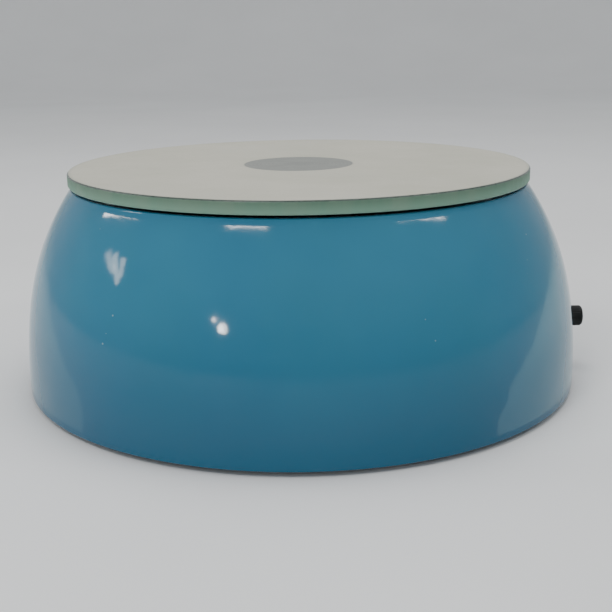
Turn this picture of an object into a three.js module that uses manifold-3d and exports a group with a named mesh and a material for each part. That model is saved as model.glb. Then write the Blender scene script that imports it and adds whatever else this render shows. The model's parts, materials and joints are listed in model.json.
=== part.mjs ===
// A compact electric pottery wheel: a round moulded housing with a disc wheelhead on top.
// Lengths are millimetres. The origin is the middle of the base plate's underside, +Z is up,
// +X points to the speed knob and +Y to the power inlet at the back.
import * as THREE from 'three';
import { mergeVertices } from 'three/addons/utils/BufferGeometryUtils.js';
import Module from 'manifold-3d';

const wasm = await Module();
wasm.setup();

// ---------------------------------------------------------------- driving dimensions

// Clearances.
const SEAT_GAP = 0.3; // between pieces that rest against each other
const BORE_GAP = 0.3; // radial, between a round piece and the bore around it
const MERGE_TOLERANCE = 1e-4;

// Wheelhead: a glass disc bonded to a metal hub.
const WHEELHEAD_RADIUS = 152.5;
const WHEELHEAD_THICKNESS = 8;
const WHEELHEAD_CHAMFER = 1;
const HEAD_CLEARANCE = 2; // the wheelhead's underside above the housing's rim
const BOND_THICKNESS = 1;
const HUB_BOSS_WALL = 10;
const DRIP_SKIRT_CLEARANCE = 2; // outside the housing's collar
const HUB_THICKNESS = 6;
const DRIP_SKIRT_WALL = 4.5;
const DRIP_SKIRT_HEIGHT = 3.5;

// Housing: one moulded shell with a sunk tray under the wheelhead.
const RIM_HEIGHT = 129;
const RIM_INSET = 1; // the rim's edge inside the wheelhead's edge
const RIM_WIDTH = 5;
const RIM_ROUND = 1.2;
const FLARE = 34.2; // the widest wall outside the rim
const SHOULDER_LEAN = THREE.MathUtils.degToRad(35); // the wall's slope at the rim
const SHOULDER_PULL = 41; // how far the rim's slope carries down the wall
const SKIRT_PULL = 55.5; // how far the upright skirt carries up the wall
const SKIRT_TOP = 3;
const SKIRT_DROP = 2; // the skirt's edge below the base plate's underside
const SKIRT_ROUND = 1;
const WALL = 4;
const TRAY_DEPTH = 12;
const TRAY_FILLET = 2;
const COLLAR_CLEARANCE = 6; // between the collar and the hub's boss
const COLLAR_HEIGHT = 5.5;
const LUG_INSET = 15.7; // the housing screws inside the widest wall
const LUG_HALF_WIDTH = 8;
const LUG_HEIGHT = 20;

// Base plate, feet and the screws that come up through the plate.
const BASE_THICKNESS = 3;
const BASE_CLEARANCE = 1.2;
const PAD_RADIUS = 60; // the flat middle, inside a pressed groove
const GROOVE_WIDTH = 5;
const GROOVE_DEPTH = 1;
const FOOT_INSET = 37.7; // the feet inside the widest wall
const FOOT_RADIUS = 12;
const FOOT_DROP = 5;
const FOOT_NECK_RADIUS = 4;
const VENT_LENGTH = 28;
const VENT_WIDTH = 4;
const VENT_PITCH = 9;
const VENT_COUNT = 5;

// Spindle and its two ball bearings.
const SPINDLE_RADIUS = 10;
const SHOULDER_STEP = 2; // the spindle's shoulders between the bearings
const SPINDLE_FOOT = 7; // the spindle's lower end
const BEARING_SECTION = 11; // from the spindle to the bearing's outside
const BEARING_WIDTH = 12;
const RACE_THICKNESS = 3.4;
const BALL_RADIUS = 2.7;
const BALL_COUNT = 8;
const LOWER_BEARING_FOOT = 12;
const SEAL_THICKNESS = 5;
const SLEEVE_WALL = 7; // outside the bearings
const SLEEVE_LEDGE = 3; // what each bearing's outer race seats on
const SLEEVE_FLANGE_WIDTH = 27;
const SLEEVE_FLANGE_THICKNESS = 6;
const CIRCLIP_THICKNESS = 1.2;
const DRIVE_PIN_RADIUS = 2.5;
const DRIVE_PIN_INSET = 2; // the pin's ends inside the hub's boss
const DRIVE_PIN_RISE = 8; // the pin above the driven pulley

// Belt drive.
const DECK_TO_PULLEY = 13; // the housing's deck above the driven pulley
const PULLEY_WIDTH = 15;
const PULLEY_FLANGE = 2.5;
const PULLEY_FLANGE_WIDTH = 1.5;
const PULLEY_NOSE_WALL = 2.2; // outside the key
const PULLEY_HUB_WALL = 7.2;
const PULLEY_RIM_WALL = 6;
const PULLEY_WEB = 5;
const KEY_WIDTH = 6;
const KEY_LENGTH = 12;
const KEY_DEPTH_IN_SPINDLE = 3.5;
const KEY_DEPTH_IN_PULLEY = 2.8;
const MOTOR_PULLEY_RADIUS = 18;
const PULLEY_SPACING = 20; // between the rims of the two pulleys
const BELT_THICKNESS = 2.4;
const BELT_GAP = 0.5; // keeps the belt's short chords outside the rims

// Motor and its bracket.
const MOTOR_INSET = 41.5; // the motor's axis inside the rim
const MOTOR_RADIUS = 38;
const MOTOR_WALL = 4;
const MOTOR_FLOOR_GAP = 10;
const MOTOR_CAP_THICKNESS = 8;
const MOTOR_AIR_GAP = 1;
const MOTOR_SHAFT_RADIUS = 4;
const MOTOR_SCREW_OFFSET = 26;
const BRACKET_SHEET = 3;
const BRACKET_TO_PULLEY = 5;
const BRACKET_HALF_LENGTH = 34;
const BRACKET_HALF_WIDTH = 52;
const BRACKET_FLANGE = 16;
const TENSION_TRAVEL = 6; // how far the motor slides each way in the bracket's slots

// Electronics.
const BOARD_INSET = 6.5; // the board's outer edge inside the rim
const BOARD_LENGTH = 80;
const BOARD_WIDTH = 90;
const BOARD_THICKNESS = 1.6;
const BOARD_RISE = 12;
const STANDOFF_INSET = 5;
const STANDOFF_RADIUS = 3.5;
const CAPACITOR_RADIUS = 10;
const CAPACITOR_HEIGHT = 28;
const FIN_COUNT = 8;
const FIN_HEIGHT = 18;
const FIN_FLOOR = 3;
const FIN_THICKNESS = 2;
const FIN_PITCH = 6;
const HEAT_SINK_LENGTH = 40;
const TERMINAL_LENGTH = 40;
const TERMINAL_DEPTH = 12;
const TERMINAL_HEIGHT = 11;
const LEAD_RADIUS = 2.5;
const LEAD_SAG = 5; // room for a lead to dip between its points
const LEAD_END_GAP = 1; // a lead's slanted end clear of what it is wired to

// Speed control.
const KNOB_HEIGHT = 30; // the knob's axis above the base plate's underside
const KNOB_RADIUS = 7.3;
const KNOB_LENGTH = 10.6;
const KNOB_STANDOFF = 1.2;
const KNOB_WALL = 1.5;
const KNOB_POCKET_DEPTH = 4;
const NUT_RADIUS = 5.2;
const NUT_THICKNESS = 2;
const BUSHING_RADIUS = 3.5;
const POT_RADIUS = 8;
const POT_DEPTH = 9;
const POT_SHAFT_RADIUS = 2.5;
const POT_PAD_HALF = 12;
const POT_PAD_THICKNESS = 7.7;

// Power inlet with its rocker switch, in a flat recess at the back.
const RECESS_HALF_WIDTH = 33;
const RECESS_FOOT = 9;
const RECESS_HEIGHT = 36;
const RECESS_EDGE_DEPTH = 3.5; // at the recess's shallowest corner
const INLET_HALF_WIDTH = 23.5;
const INLET_HALF_HEIGHT = 13.3;
const INLET_DEPTH = 24;
const INLET_FLANGE = 1.8;
const INLET_FLANGE_THICKNESS = 2;
const SOCKET_X = -9.5;
const SOCKET_HALF_WIDTH = 12.1;
const SOCKET_HALF_HEIGHT = 8.2;
const SOCKET_DEPTH = 16;
const PIN_LENGTH = 9;
const PIN_HALF_WIDTH = 1;
const PIN_HALF_HEIGHT = 2;
const ROCKER_X = 15.5;
const ROCKER_HALF_WIDTH = 5.5;
const ROCKER_HALF_HEIGHT = 9;
const ROCKER_TILT = THREE.MathUtils.degToRad(9);
const ROCKER_PIVOT_DEPTH = 4;
const TRUNNION_RADIUS = 1.2;
const TRUNNION_REACH = 7.2; // each way from the rocker's middle

// ---------------------------------------------------------------- places that follow

const RIM_RADIUS = WHEELHEAD_RADIUS - RIM_INSET;
const WIDEST_RADIUS = RIM_RADIUS + FLARE;
const TRAY_FLOOR = RIM_HEIGHT - TRAY_DEPTH;
const DECK_UNDERSIDE = TRAY_FLOOR - WALL;

const WHEELHEAD_FOOT = RIM_HEIGHT + HEAD_CLEARANCE;
const HUB_BOSS_RADIUS = SPINDLE_RADIUS + HUB_BOSS_WALL;
const COLLAR_BORE_RADIUS = HUB_BOSS_RADIUS + COLLAR_CLEARANCE;
const HUB_RADIUS = COLLAR_BORE_RADIUS + WALL + DRIP_SKIRT_CLEARANCE + DRIP_SKIRT_WALL;
const DRIVE_PIN_HALF_LENGTH = HUB_BOSS_RADIUS - DRIVE_PIN_INSET;
const BOND_FOOT = WHEELHEAD_FOOT - SEAT_GAP - BOND_THICKNESS;
const HUB_TOP = BOND_FOOT - SEAT_GAP;
const HUB_FLANGE_FOOT = HUB_TOP - HUB_THICKNESS;
const SPINDLE_TOP = HUB_FLANGE_FOOT + 1;

const PULLEY_TOP = DECK_UNDERSIDE - DECK_TO_PULLEY;
const PULLEY_FOOT = PULLEY_TOP - PULLEY_WIDTH;
const DRIVE_PIN_HEIGHT = PULLEY_TOP + DRIVE_PIN_RISE;
const HUB_BOSS_FOOT = PULLEY_TOP + 2.5;

const SLEEVE_FOOT = BASE_THICKNESS + SEAT_GAP;
const SLEEVE_TOP = PULLEY_FOOT - 3;
const SEAL_FOOT = SLEEVE_TOP - SEAT_GAP - SEAL_THICKNESS;
const UPPER_BEARING_FOOT = SEAL_FOOT - SEAT_GAP - BEARING_WIDTH;
const BEARING_RADIUS = SPINDLE_RADIUS + BEARING_SECTION;
const BALL_CIRCLE = (SPINDLE_RADIUS + BORE_GAP + BEARING_RADIUS) / 2;
const SLEEVE_RADIUS = BEARING_RADIUS + SLEEVE_WALL;
const SLEEVE_FLANGE_RADIUS = SLEEVE_RADIUS + SLEEVE_FLANGE_WIDTH;
const SLEEVE_SCREW_CIRCLE = SLEEVE_RADIUS + 0.6 * SLEEVE_FLANGE_WIDTH;
const SHOULDER_RADIUS = SPINDLE_RADIUS + SHOULDER_STEP;
const PULLEY_NOSE_RADIUS = SPINDLE_RADIUS + KEY_DEPTH_IN_PULLEY + PULLEY_NOSE_WALL;
const PULLEY_HUB_RADIUS = SPINDLE_RADIUS + KEY_DEPTH_IN_PULLEY + PULLEY_HUB_WALL;

const MOTOR_X = -(RIM_RADIUS - MOTOR_INSET);
const DRIVEN_RADIUS = -MOTOR_X - MOTOR_PULLEY_RADIUS - PULLEY_SPACING;
const BRACKET_TOP = PULLEY_FOOT - BRACKET_TO_PULLEY;
const MOTOR_TOP = BRACKET_TOP - BRACKET_SHEET - SEAT_GAP;
const MOTOR_FOOT = BASE_THICKNESS + MOTOR_FLOOR_GAP;

const BASE_RADIUS = WIDEST_RADIUS - WALL - BASE_CLEARANCE;
const LUG_CIRCLE = WIDEST_RADIUS - LUG_INSET;
const FOOT_CIRCLE = WIDEST_RADIUS - FOOT_INSET;
const CORNER_ANGLES = [45, 135, 225, 315].map(THREE.MathUtils.degToRad);

const BOARD_OUTER_X = RIM_RADIUS - BOARD_INSET;
const BOARD_X = BOARD_OUTER_X - BOARD_LENGTH / 2;
const BOARD_FOOT = BASE_THICKNESS + BOARD_RISE;
const BOARD_TOP = BOARD_FOOT + BOARD_THICKNESS;

const INLET_Z = RECESS_FOOT + RECESS_HEIGHT / 2;

// ---------------------------------------------------------------- materials

function finish(color, roughness, metalness) {
  return new THREE.MeshStandardMaterial({ color, roughness, metalness });
}

const materials = {
  frostedGlass: finish(0xb0b1a8, 0.55, 0),
  bond: finish(0x8d8f8c, 0.8, 0),
  castAluminium: finish(0xa9acae, 0.5, 0.9),
  steel: finish(0xb4b6b8, 0.3, 1),
  bearingSteel: finish(0xc4c6c8, 0.2, 1),
  zincScrew: finish(0x9da1a4, 0.35, 1),
  blueGelcoat: finish(0x3d7a96, 0.22, 0),
  basePaint: finish(0x2c2f31, 0.6, 0.4),
  rubber: finish(0x1b1b1c, 0.85, 0),
  motorPaint: finish(0x34383b, 0.45, 0.6),
  laminate: finish(0x2f5f3c, 0.5, 0),
  blackPlastic: finish(0x1d1e20, 0.45, 0),
  sleeving: finish(0x3a3c40, 0.6, 0),
  terminal: finish(0x4f7f5f, 0.5, 0),
};

// ---------------------------------------------------------------- shaping helpers

// A closed geometry as a solid that can be joined and cut.
function solid(geometry) {
  const bare = geometry.clone();
  bare.deleteAttribute('normal');
  bare.deleteAttribute('uv');
  const merged = mergeVertices(bare, MERGE_TOLERANCE);
  const corners = merged.index.array;
  const triangles = [];
  for (let i = 0; i < corners.length; i += 3) {
    const [a, b, c] = corners.slice(i, i + 3);
    if (a !== b && b !== c && c !== a) triangles.push(a, b, c);
  }
  return new wasm.Manifold(new wasm.Mesh({
    numProp: 3,
    vertProperties: Float32Array.from(merged.attributes.position.array),
    triVerts: Uint32Array.from(triangles),
  }));
}

function geometryOf(body) {
  const mesh = body.getMesh();
  const geometry = new THREE.BufferGeometry();
  geometry.setAttribute('position', new THREE.BufferAttribute(mesh.vertProperties, 3));
  geometry.setIndex(new THREE.BufferAttribute(mesh.triVerts, 1));
  geometry.computeVertexNormals();
  return geometry;
}

// The first geometry with the others added, then with the cutters taken away.
function carve(base, { add = [], cut = [] }) {
  let body = solid(base);
  for (const piece of add) body = body.add(solid(piece));
  for (const cutter of cut) body = body.subtract(solid(cutter));
  return geometryOf(body);
}

// A profile of [radius, height] pairs, turned about +Z. It runs anticlockwise.
function turned(profile, sides) {
  const points = profile.map(([radius, height]) => new THREE.Vector2(radius, height));
  return new THREE.LatheGeometry(points, sides).rotateX(Math.PI / 2);
}

// A ring-shaped profile, which closes on its first point.
const turnedRing = (profile, sides) => turned([...profile, profile[0]], sides);

function ring(inner, outer, foot, top, sides) {
  return turnedRing([[inner, foot], [outer, foot], [outer, top], [inner, top]], sides);
}

// A round bar along +Z from one height to another.
function bar(radius, foot, top, sides) {
  const geometry = new THREE.CylinderGeometry(radius, radius, top - foot, sides);
  return geometry.rotateX(Math.PI / 2).translate(0, 0, (foot + top) / 2);
}

function block(x, y, z) {
  const geometry = new THREE.BoxGeometry(x[1] - x[0], y[1] - y[0], z[1] - z[0]);
  return geometry.translate((x[0] + x[1]) / 2, (y[0] + y[1]) / 2, (z[0] + z[1]) / 2);
}

// A geometry moved to a place on a circle about +Z, turned with it.
const onCircle = (geometry, radius, angle) => geometry.translate(radius, 0, 0).rotateZ(angle);

// A geometry made along +Z, laid along +X instead.
const alongX = (geometry) => geometry.rotateY(Math.PI / 2);

// A round tube along a smooth curve through the points.
function tube(points, radius, steps) {
  const section = new THREE.Shape(new THREE.Path().absarc(0, 0, radius, 0, 2 * Math.PI).getPoints(4));
  const curve = new THREE.CatmullRomCurve3(points.map((point) => new THREE.Vector3(...point)));
  return new THREE.ExtrudeGeometry(section, { extrudePath: curve, steps, curveSegments: 1 });
}

const object = new THREE.Group();

function addPart(name, geometry, material, parent = object) {
  const mesh = new THREE.Mesh(geometry, material);
  mesh.name = name;
  parent.add(mesh);
  return mesh;
}

function addGroup(x, y, z) {
  const group = new THREE.Group();
  group.position.set(x, y, z);
  object.add(group);
  return group;
}

// ---------------------------------------------------------------- housing wall

const WALL_STEPS = 7;
const SHELL_SIDES = 40;

// The outside of the wall in section, from the skirt up to the rim.
const wallCurve = new THREE.CubicBezierCurve(
  new THREE.Vector2(WIDEST_RADIUS, SKIRT_TOP),
  new THREE.Vector2(WIDEST_RADIUS, SKIRT_TOP + SKIRT_PULL),
  new THREE.Vector2(
    RIM_RADIUS + SHOULDER_PULL * Math.sin(SHOULDER_LEAN),
    RIM_HEIGHT - RIM_ROUND - SHOULDER_PULL * Math.cos(SHOULDER_LEAN),
  ),
  new THREE.Vector2(RIM_RADIUS, RIM_HEIGHT - RIM_ROUND),
);

// Points [radius, height] on a surface that lies a depth inside the wall's outside.
function wallPoints(depth) {
  const points = [];
  for (let step = 0; step <= WALL_STEPS; step += 1) {
    const place = wallCurve.getPoint(step / WALL_STEPS);
    const along = wallCurve.getTangent(step / WALL_STEPS);
    points.push([place.x - along.y * depth, place.y + along.x * depth]);
  }
  return points;
}

// The radius at a height, on a surface that lies a depth inside the wall's outside.
function wallRadius(height, depth = 0) {
  const points = wallPoints(depth);
  const above = Math.max(1, points.findIndex((point) => point[1] >= height));
  const [low, high] = [points[above - 1], points[above]];
  return THREE.MathUtils.mapLinear(height, low[1], high[1], low[0], high[0]);
}

// ---------------------------------------------------------------- screws and feet

const SCREW_SIDES = 8;

// A countersunk screw along +Z, with its head's flat face at the foot.
function countersunkScrew(radius, foot, tip) {
  const head = 2 * radius;
  const socket = 0.9 * radius;
  return turned([
    [0, foot + radius], [socket, foot + radius], [socket, foot], [head, foot],
    [radius, foot + radius], [radius, tip], [0, tip],
  ], SCREW_SIDES);
}

// The hole for such a screw, through a plate that reaches from 0 to the top.
function countersunkHole(radius, top) {
  const bore = radius + BORE_GAP;
  const mouth = 2 * radius + 2 * BORE_GAP + 1;
  const coneTop = radius + SEAT_GAP;
  return turned([[0, -1], [mouth, -1], [bore, coneTop], [bore, top + 1], [0, top + 1]], SCREW_SIDES);
}

// A foot with a neck that snaps up through the base plate.
function pushInFoot() {
  const barb = FOOT_NECK_RADIUS + 1.5;
  const plateTop = BASE_THICKNESS + SEAT_GAP;
  return turned([
    [0, -FOOT_DROP], [FOOT_RADIUS - 2, -FOOT_DROP], [FOOT_RADIUS, -FOOT_DROP + 1.5],
    [FOOT_RADIUS, -SEAT_GAP], [FOOT_NECK_RADIUS, -SEAT_GAP], [FOOT_NECK_RADIUS, plateTop],
    [barb, plateTop], [FOOT_NECK_RADIUS - 1, plateTop + 3], [0, plateTop + 3],
  ], 12);
}

const SLEEVE_SCREW_RADIUS = 3;
const HOUSING_SCREW_RADIUS = 2;
const BRACKET_SCREW_RADIUS = 2.5;
const SLEEVE_SCREW_TIP = SLEEVE_FOOT + SLEEVE_FLANGE_THICKNESS - 0.5;
const HOUSING_SCREW_TIP = BASE_THICKNESS + 15;
const BRACKET_SCREW_TIP = BASE_THICKNESS + BRACKET_SHEET + 2;
const BRACKET_SCREW_Y = BRACKET_HALF_WIDTH + BRACKET_FLANGE / 2;

function addFeetAndScrews() {
  const zinc = materials.zincScrew;
  CORNER_ANGLES.forEach((angle, i) => {
    const sleeveScrew = countersunkScrew(SLEEVE_SCREW_RADIUS, SEAT_GAP, SLEEVE_SCREW_TIP);
    const housingScrew = countersunkScrew(HOUSING_SCREW_RADIUS, SEAT_GAP, HOUSING_SCREW_TIP);
    addPart(`foot_${i + 1}`, onCircle(pushInFoot(), FOOT_CIRCLE, angle), materials.rubber);
    addPart(`spindle_housing_screw_${i + 1}`, onCircle(sleeveScrew, SLEEVE_SCREW_CIRCLE, angle), zinc);
    addPart(`housing_screw_${i + 1}`, onCircle(housingScrew, LUG_CIRCLE, angle), zinc);
  });
  [1, -1].forEach((side, i) => {
    const screw = countersunkScrew(BRACKET_SCREW_RADIUS, SEAT_GAP, BRACKET_SCREW_TIP);
    addPart(`bracket_screw_${i + 1}`, screw.translate(MOTOR_X, side * BRACKET_SCREW_Y, 0), zinc);
  });
}

// ---------------------------------------------------------------- base plate

function basePlate() {
  const plate = turned([
    [0, 0], [PAD_RADIUS, 0], [PAD_RADIUS + 1, GROOVE_DEPTH],
    [PAD_RADIUS + GROOVE_WIDTH - 1, GROOVE_DEPTH], [PAD_RADIUS + GROOVE_WIDTH, 0],
    [BASE_RADIUS, 0], [BASE_RADIUS, BASE_THICKNESS], [0, BASE_THICKNESS],
  ], 36);
  const cut = [];
  for (const angle of CORNER_ANGLES) {
    cut.push(onCircle(countersunkHole(SLEEVE_SCREW_RADIUS, BASE_THICKNESS), SLEEVE_SCREW_CIRCLE, angle));
    cut.push(onCircle(countersunkHole(HOUSING_SCREW_RADIUS, BASE_THICKNESS), LUG_CIRCLE, angle));
    cut.push(onCircle(bar(FOOT_NECK_RADIUS + BORE_GAP, -1, BASE_THICKNESS + 1, 12), FOOT_CIRCLE, angle));
  }
  for (const side of [1, -1]) {
    const hole = countersunkHole(BRACKET_SCREW_RADIUS, BASE_THICKNESS);
    cut.push(hole.translate(MOTOR_X, side * BRACKET_SCREW_Y, 0));
  }
  for (let i = 0; i < VENT_COUNT; i += 1) {
    const y = (i - (VENT_COUNT - 1) / 2) * VENT_PITCH;
    const x = [MOTOR_X - VENT_LENGTH / 2, MOTOR_X + VENT_LENGTH / 2];
    cut.push(block(x, [y - VENT_WIDTH / 2, y + VENT_WIDTH / 2], [-1, BASE_THICKNESS + 1]));
  }
  return carve(plate, { cut });
}

// ---------------------------------------------------------------- housing shell

const RECESS_TOP = RECESS_FOOT + RECESS_HEIGHT;
const RECESS_CORNER_Y = Math.sqrt(wallRadius(RECESS_TOP) ** 2 - RECESS_HALF_WIDTH ** 2);
const RECESS_FLOOR_Y = RECESS_CORNER_Y - RECESS_EDGE_DEPTH;

const POT_PAD_X = wallRadius(KNOB_HEIGHT) - POT_PAD_THICKNESS;

function shellBody() {
  const trayRadius = RIM_RADIUS - RIM_WIDTH;
  const pocketTop = RIM_HEIGHT - RIM_ROUND - 2 * WALL;
  const collarTop = TRAY_FLOOR + COLLAR_HEIGHT;
  const inside = wallPoints(WALL).filter(([, height]) => height < pocketTop - 2);
  return turnedRing([
    [WIDEST_RADIUS - WALL, -SKIRT_DROP],
    [WIDEST_RADIUS - SKIRT_ROUND, -SKIRT_DROP],
    [WIDEST_RADIUS, SKIRT_ROUND - SKIRT_DROP],
    ...wallPoints(0),
    [RIM_RADIUS - RIM_ROUND, RIM_HEIGHT],
    [trayRadius + RIM_ROUND, RIM_HEIGHT],
    [trayRadius, RIM_HEIGHT - RIM_ROUND],
    [trayRadius, TRAY_FLOOR + TRAY_FILLET],
    [trayRadius - TRAY_FILLET, TRAY_FLOOR],
    [COLLAR_BORE_RADIUS + WALL, TRAY_FLOOR],
    [COLLAR_BORE_RADIUS + WALL, collarTop],
    [COLLAR_BORE_RADIUS, collarTop],
    [COLLAR_BORE_RADIUS, DECK_UNDERSIDE],
    [trayRadius + WALL, DECK_UNDERSIDE],
    [trayRadius + WALL, pocketTop],
    [wallRadius(pocketTop, WALL), pocketTop],
    ...inside.reverse(),
  ], SHELL_SIDES);
}

// The thick wall behind the recess, kept just inside the shell's outer surface.
function recessBacking() {
  const x = RECESS_HALF_WIDTH + WALL;
  const z = [RECESS_FOOT - WALL, RECESS_TOP + WALL];
  const rough = block([-x, x], [RECESS_FLOOR_Y - WALL, WIDEST_RADIUS], z);
  const insideWall = turned([[0, SKIRT_TOP], ...wallPoints(1), [0, RIM_HEIGHT]], SHELL_SIDES);
  return geometryOf(solid(rough).intersect(solid(insideWall)));
}

function housingShell() {
  const potPadOuter = wallRadius(KNOB_HEIGHT + POT_PAD_HALF) - 1;
  const potPadZ = [KNOB_HEIGHT - POT_PAD_HALF, KNOB_HEIGHT + POT_PAD_HALF];
  const add = [
    recessBacking(),
    block([POT_PAD_X, potPadOuter], [-POT_PAD_HALF, POT_PAD_HALF], potPadZ),
  ];
  const recessX = [-RECESS_HALF_WIDTH, RECESS_HALF_WIDTH];
  const inletX = [-INLET_HALF_WIDTH - SEAT_GAP, INLET_HALF_WIDTH + SEAT_GAP];
  const inletZ = [INLET_Z - INLET_HALF_HEIGHT - SEAT_GAP, INLET_Z + INLET_HALF_HEIGHT + SEAT_GAP];
  const potHole = alongX(bar(BUSHING_RADIUS + BORE_GAP, POT_PAD_X - 1, WIDEST_RADIUS + 1, 12));
  const cut = [
    block(recessX, [RECESS_FLOOR_Y, WIDEST_RADIUS + 10], [RECESS_FOOT, RECESS_TOP]),
    block(inletX, [RECESS_FLOOR_Y - WALL - 1, RECESS_FLOOR_Y + 1], inletZ),
    potHole.translate(0, 0, KNOB_HEIGHT),
  ];
  for (const angle of CORNER_ANGLES) {
    const x = [LUG_CIRCLE - LUG_HALF_WIDTH, WIDEST_RADIUS - WALL / 2];
    const z = [BASE_THICKNESS + SEAT_GAP, BASE_THICKNESS + LUG_HEIGHT];
    const pilot = bar(HOUSING_SCREW_RADIUS + BORE_GAP, 0, HOUSING_SCREW_TIP + SEAT_GAP, 8);
    add.push(block(x, [-LUG_HALF_WIDTH, LUG_HALF_WIDTH], z).rotateZ(angle));
    cut.push(onCircle(pilot, LUG_CIRCLE, angle));
  }
  return carve(shellBody(), { add, cut });
}

// ---------------------------------------------------------------- wheelhead and hub

function wheelheadDisc() {
  const top = WHEELHEAD_FOOT + WHEELHEAD_THICKNESS;
  const chamfer = WHEELHEAD_CHAMFER;
  return turned([
    [0, WHEELHEAD_FOOT], [WHEELHEAD_RADIUS - chamfer / 2, WHEELHEAD_FOOT],
    [WHEELHEAD_RADIUS, WHEELHEAD_FOOT + chamfer / 2], [WHEELHEAD_RADIUS, top - chamfer],
    [WHEELHEAD_RADIUS - chamfer, top], [0, top],
  ], SHELL_SIDES);
}

function hubFlange() {
  const bore = SPINDLE_RADIUS + BORE_GAP;
  const boreTop = SPINDLE_TOP + SEAT_GAP;
  const skirtFoot = HUB_FLANGE_FOOT - DRIP_SKIRT_HEIGHT;
  const hub = turned([
    [0, boreTop], [bore, boreTop], [bore, HUB_BOSS_FOOT], [HUB_BOSS_RADIUS, HUB_BOSS_FOOT],
    [HUB_BOSS_RADIUS, HUB_FLANGE_FOOT], [HUB_RADIUS - DRIP_SKIRT_WALL, HUB_FLANGE_FOOT],
    [HUB_RADIUS - DRIP_SKIRT_WALL, skirtFoot], [HUB_RADIUS, skirtFoot],
    [HUB_RADIUS, HUB_TOP], [0, HUB_TOP],
  ], 24);
  const halfSlot = DRIVE_PIN_RADIUS + BORE_GAP;
  const slotTop = DRIVE_PIN_HEIGHT + halfSlot;
  const x = HUB_BOSS_RADIUS + 1;
  return carve(hub, { cut: [block([-x, x], [-halfSlot, halfSlot], [HUB_BOSS_FOOT - 1, slotTop])] });
}

function spindleShaft() {
  const clipFoot = LOWER_BEARING_FOOT - 2 * SEAT_GAP - CIRCLIP_THICKNESS;
  const clipTop = LOWER_BEARING_FOOT - SEAT_GAP / 2;
  const shoulderFoot = LOWER_BEARING_FOOT + BEARING_WIDTH + SEAT_GAP;
  const shoulderTop = UPPER_BEARING_FOOT - SEAT_GAP;
  const r = SPINDLE_RADIUS;
  const shaft = turned([
    [0, SPINDLE_FOOT], [r - 1, SPINDLE_FOOT], [r, SPINDLE_FOOT + 1], [r, clipFoot], [r - 1, clipFoot],
    [r - 1, clipTop], [r, clipTop], [r, shoulderFoot], [SHOULDER_RADIUS, shoulderFoot],
    [SHOULDER_RADIUS, shoulderTop], [r, shoulderTop],
    [r, SPINDLE_TOP - 1], [r - 1, SPINDLE_TOP], [0, SPINDLE_TOP],
  ], 16);
  const pinHole = alongX(bar(DRIVE_PIN_RADIUS + BORE_GAP, -r - 1, r + 1, 12));
  return carve(shaft, { cut: [pinHole.translate(0, 0, DRIVE_PIN_HEIGHT), keySeat(BORE_GAP)] });
}

const KEY_MIDDLE = PULLEY_FOOT + PULLEY_WIDTH / 2;
const KEY_INNER_X = SPINDLE_RADIUS - KEY_DEPTH_IN_SPINDLE;
const KEY_OUTER_X = SPINDLE_RADIUS + KEY_DEPTH_IN_PULLEY;

// The space of the key, grown by a clearance.
function keySeat(clearance) {
  const halfWidth = KEY_WIDTH / 2 + clearance;
  const halfLength = KEY_LENGTH / 2 + clearance;
  const z = [KEY_MIDDLE - halfLength, KEY_MIDDLE + halfLength];
  return block([KEY_INNER_X - clearance, KEY_OUTER_X + clearance], [-halfWidth, halfWidth], z);
}

function circlip() {
  const foot = LOWER_BEARING_FOOT - 1.5 * SEAT_GAP - CIRCLIP_THICKNESS;
  const inner = SPINDLE_RADIUS - 1 + BORE_GAP;
  const loop = ring(inner, SPINDLE_RADIUS + 2.5, foot, foot + CIRCLIP_THICKNESS, 20);
  return carve(loop, { cut: [block([0, SPINDLE_RADIUS + 5], [-3, 3], [foot - 1, foot + 5])] });
}

function addWheel() {
  const pin = alongX(bar(DRIVE_PIN_RADIUS, -DRIVE_PIN_HALF_LENGTH, DRIVE_PIN_HALF_LENGTH, 12));
  const pad = bar(HUB_RADIUS, BOND_FOOT, BOND_FOOT + BOND_THICKNESS, 24);
  addPart('wheelhead_disc', wheelheadDisc(), materials.frostedGlass);
  addPart('bond_pad', pad, materials.bond);
  addPart('hub_flange', hubFlange(), materials.castAluminium);
  addPart('drive_pin', pin.translate(0, 0, DRIVE_PIN_HEIGHT), materials.steel);
  addPart('spindle_shaft', spindleShaft(), materials.steel);
  addPart('pulley_key', keySeat(0), materials.steel);
  addPart('spindle_circlip', circlip(), materials.steel);
}

// ---------------------------------------------------------------- bearings

const RACE_SIDES = 16;
const SEAL_SIDES = 20;

// A bearing race with a shallow groove for the balls, on its outer or inner side.
function outerRace() {
  const inner = BEARING_RADIUS - RACE_THICKNESS;
  const middle = BEARING_WIDTH / 2;
  return turnedRing([
    [inner, 0], [BEARING_RADIUS, 0], [BEARING_RADIUS, BEARING_WIDTH], [inner, BEARING_WIDTH],
    [inner, middle + 3], [inner + 1.4, middle], [inner, middle - 3],
  ], RACE_SIDES);
}

function innerRace() {
  const bore = SPINDLE_RADIUS + BORE_GAP;
  const outer = bore + RACE_THICKNESS - 0.3;
  const middle = BEARING_WIDTH / 2;
  return turnedRing([
    [bore, 0], [outer, 0], [outer, middle - 3], [outer - 1.4, middle], [outer, middle + 3],
    [outer, BEARING_WIDTH], [bore, BEARING_WIDTH],
  ], RACE_SIDES);
}

// The balls in their cage, which travel round together.
function ballCage() {
  const middle = BEARING_WIDTH / 2;
  const band = ring(BALL_CIRCLE - 0.6, BALL_CIRCLE + 0.6, middle - 1.4, middle + 1.4, 16);
  const add = [];
  for (let i = 0; i < BALL_COUNT; i += 1) {
    const ball = new THREE.OctahedronGeometry(BALL_RADIUS, 1).translate(0, 0, middle);
    add.push(onCircle(ball, BALL_CIRCLE, (i * 2 * Math.PI) / BALL_COUNT));
  }
  return carve(band, { add });
}

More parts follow.
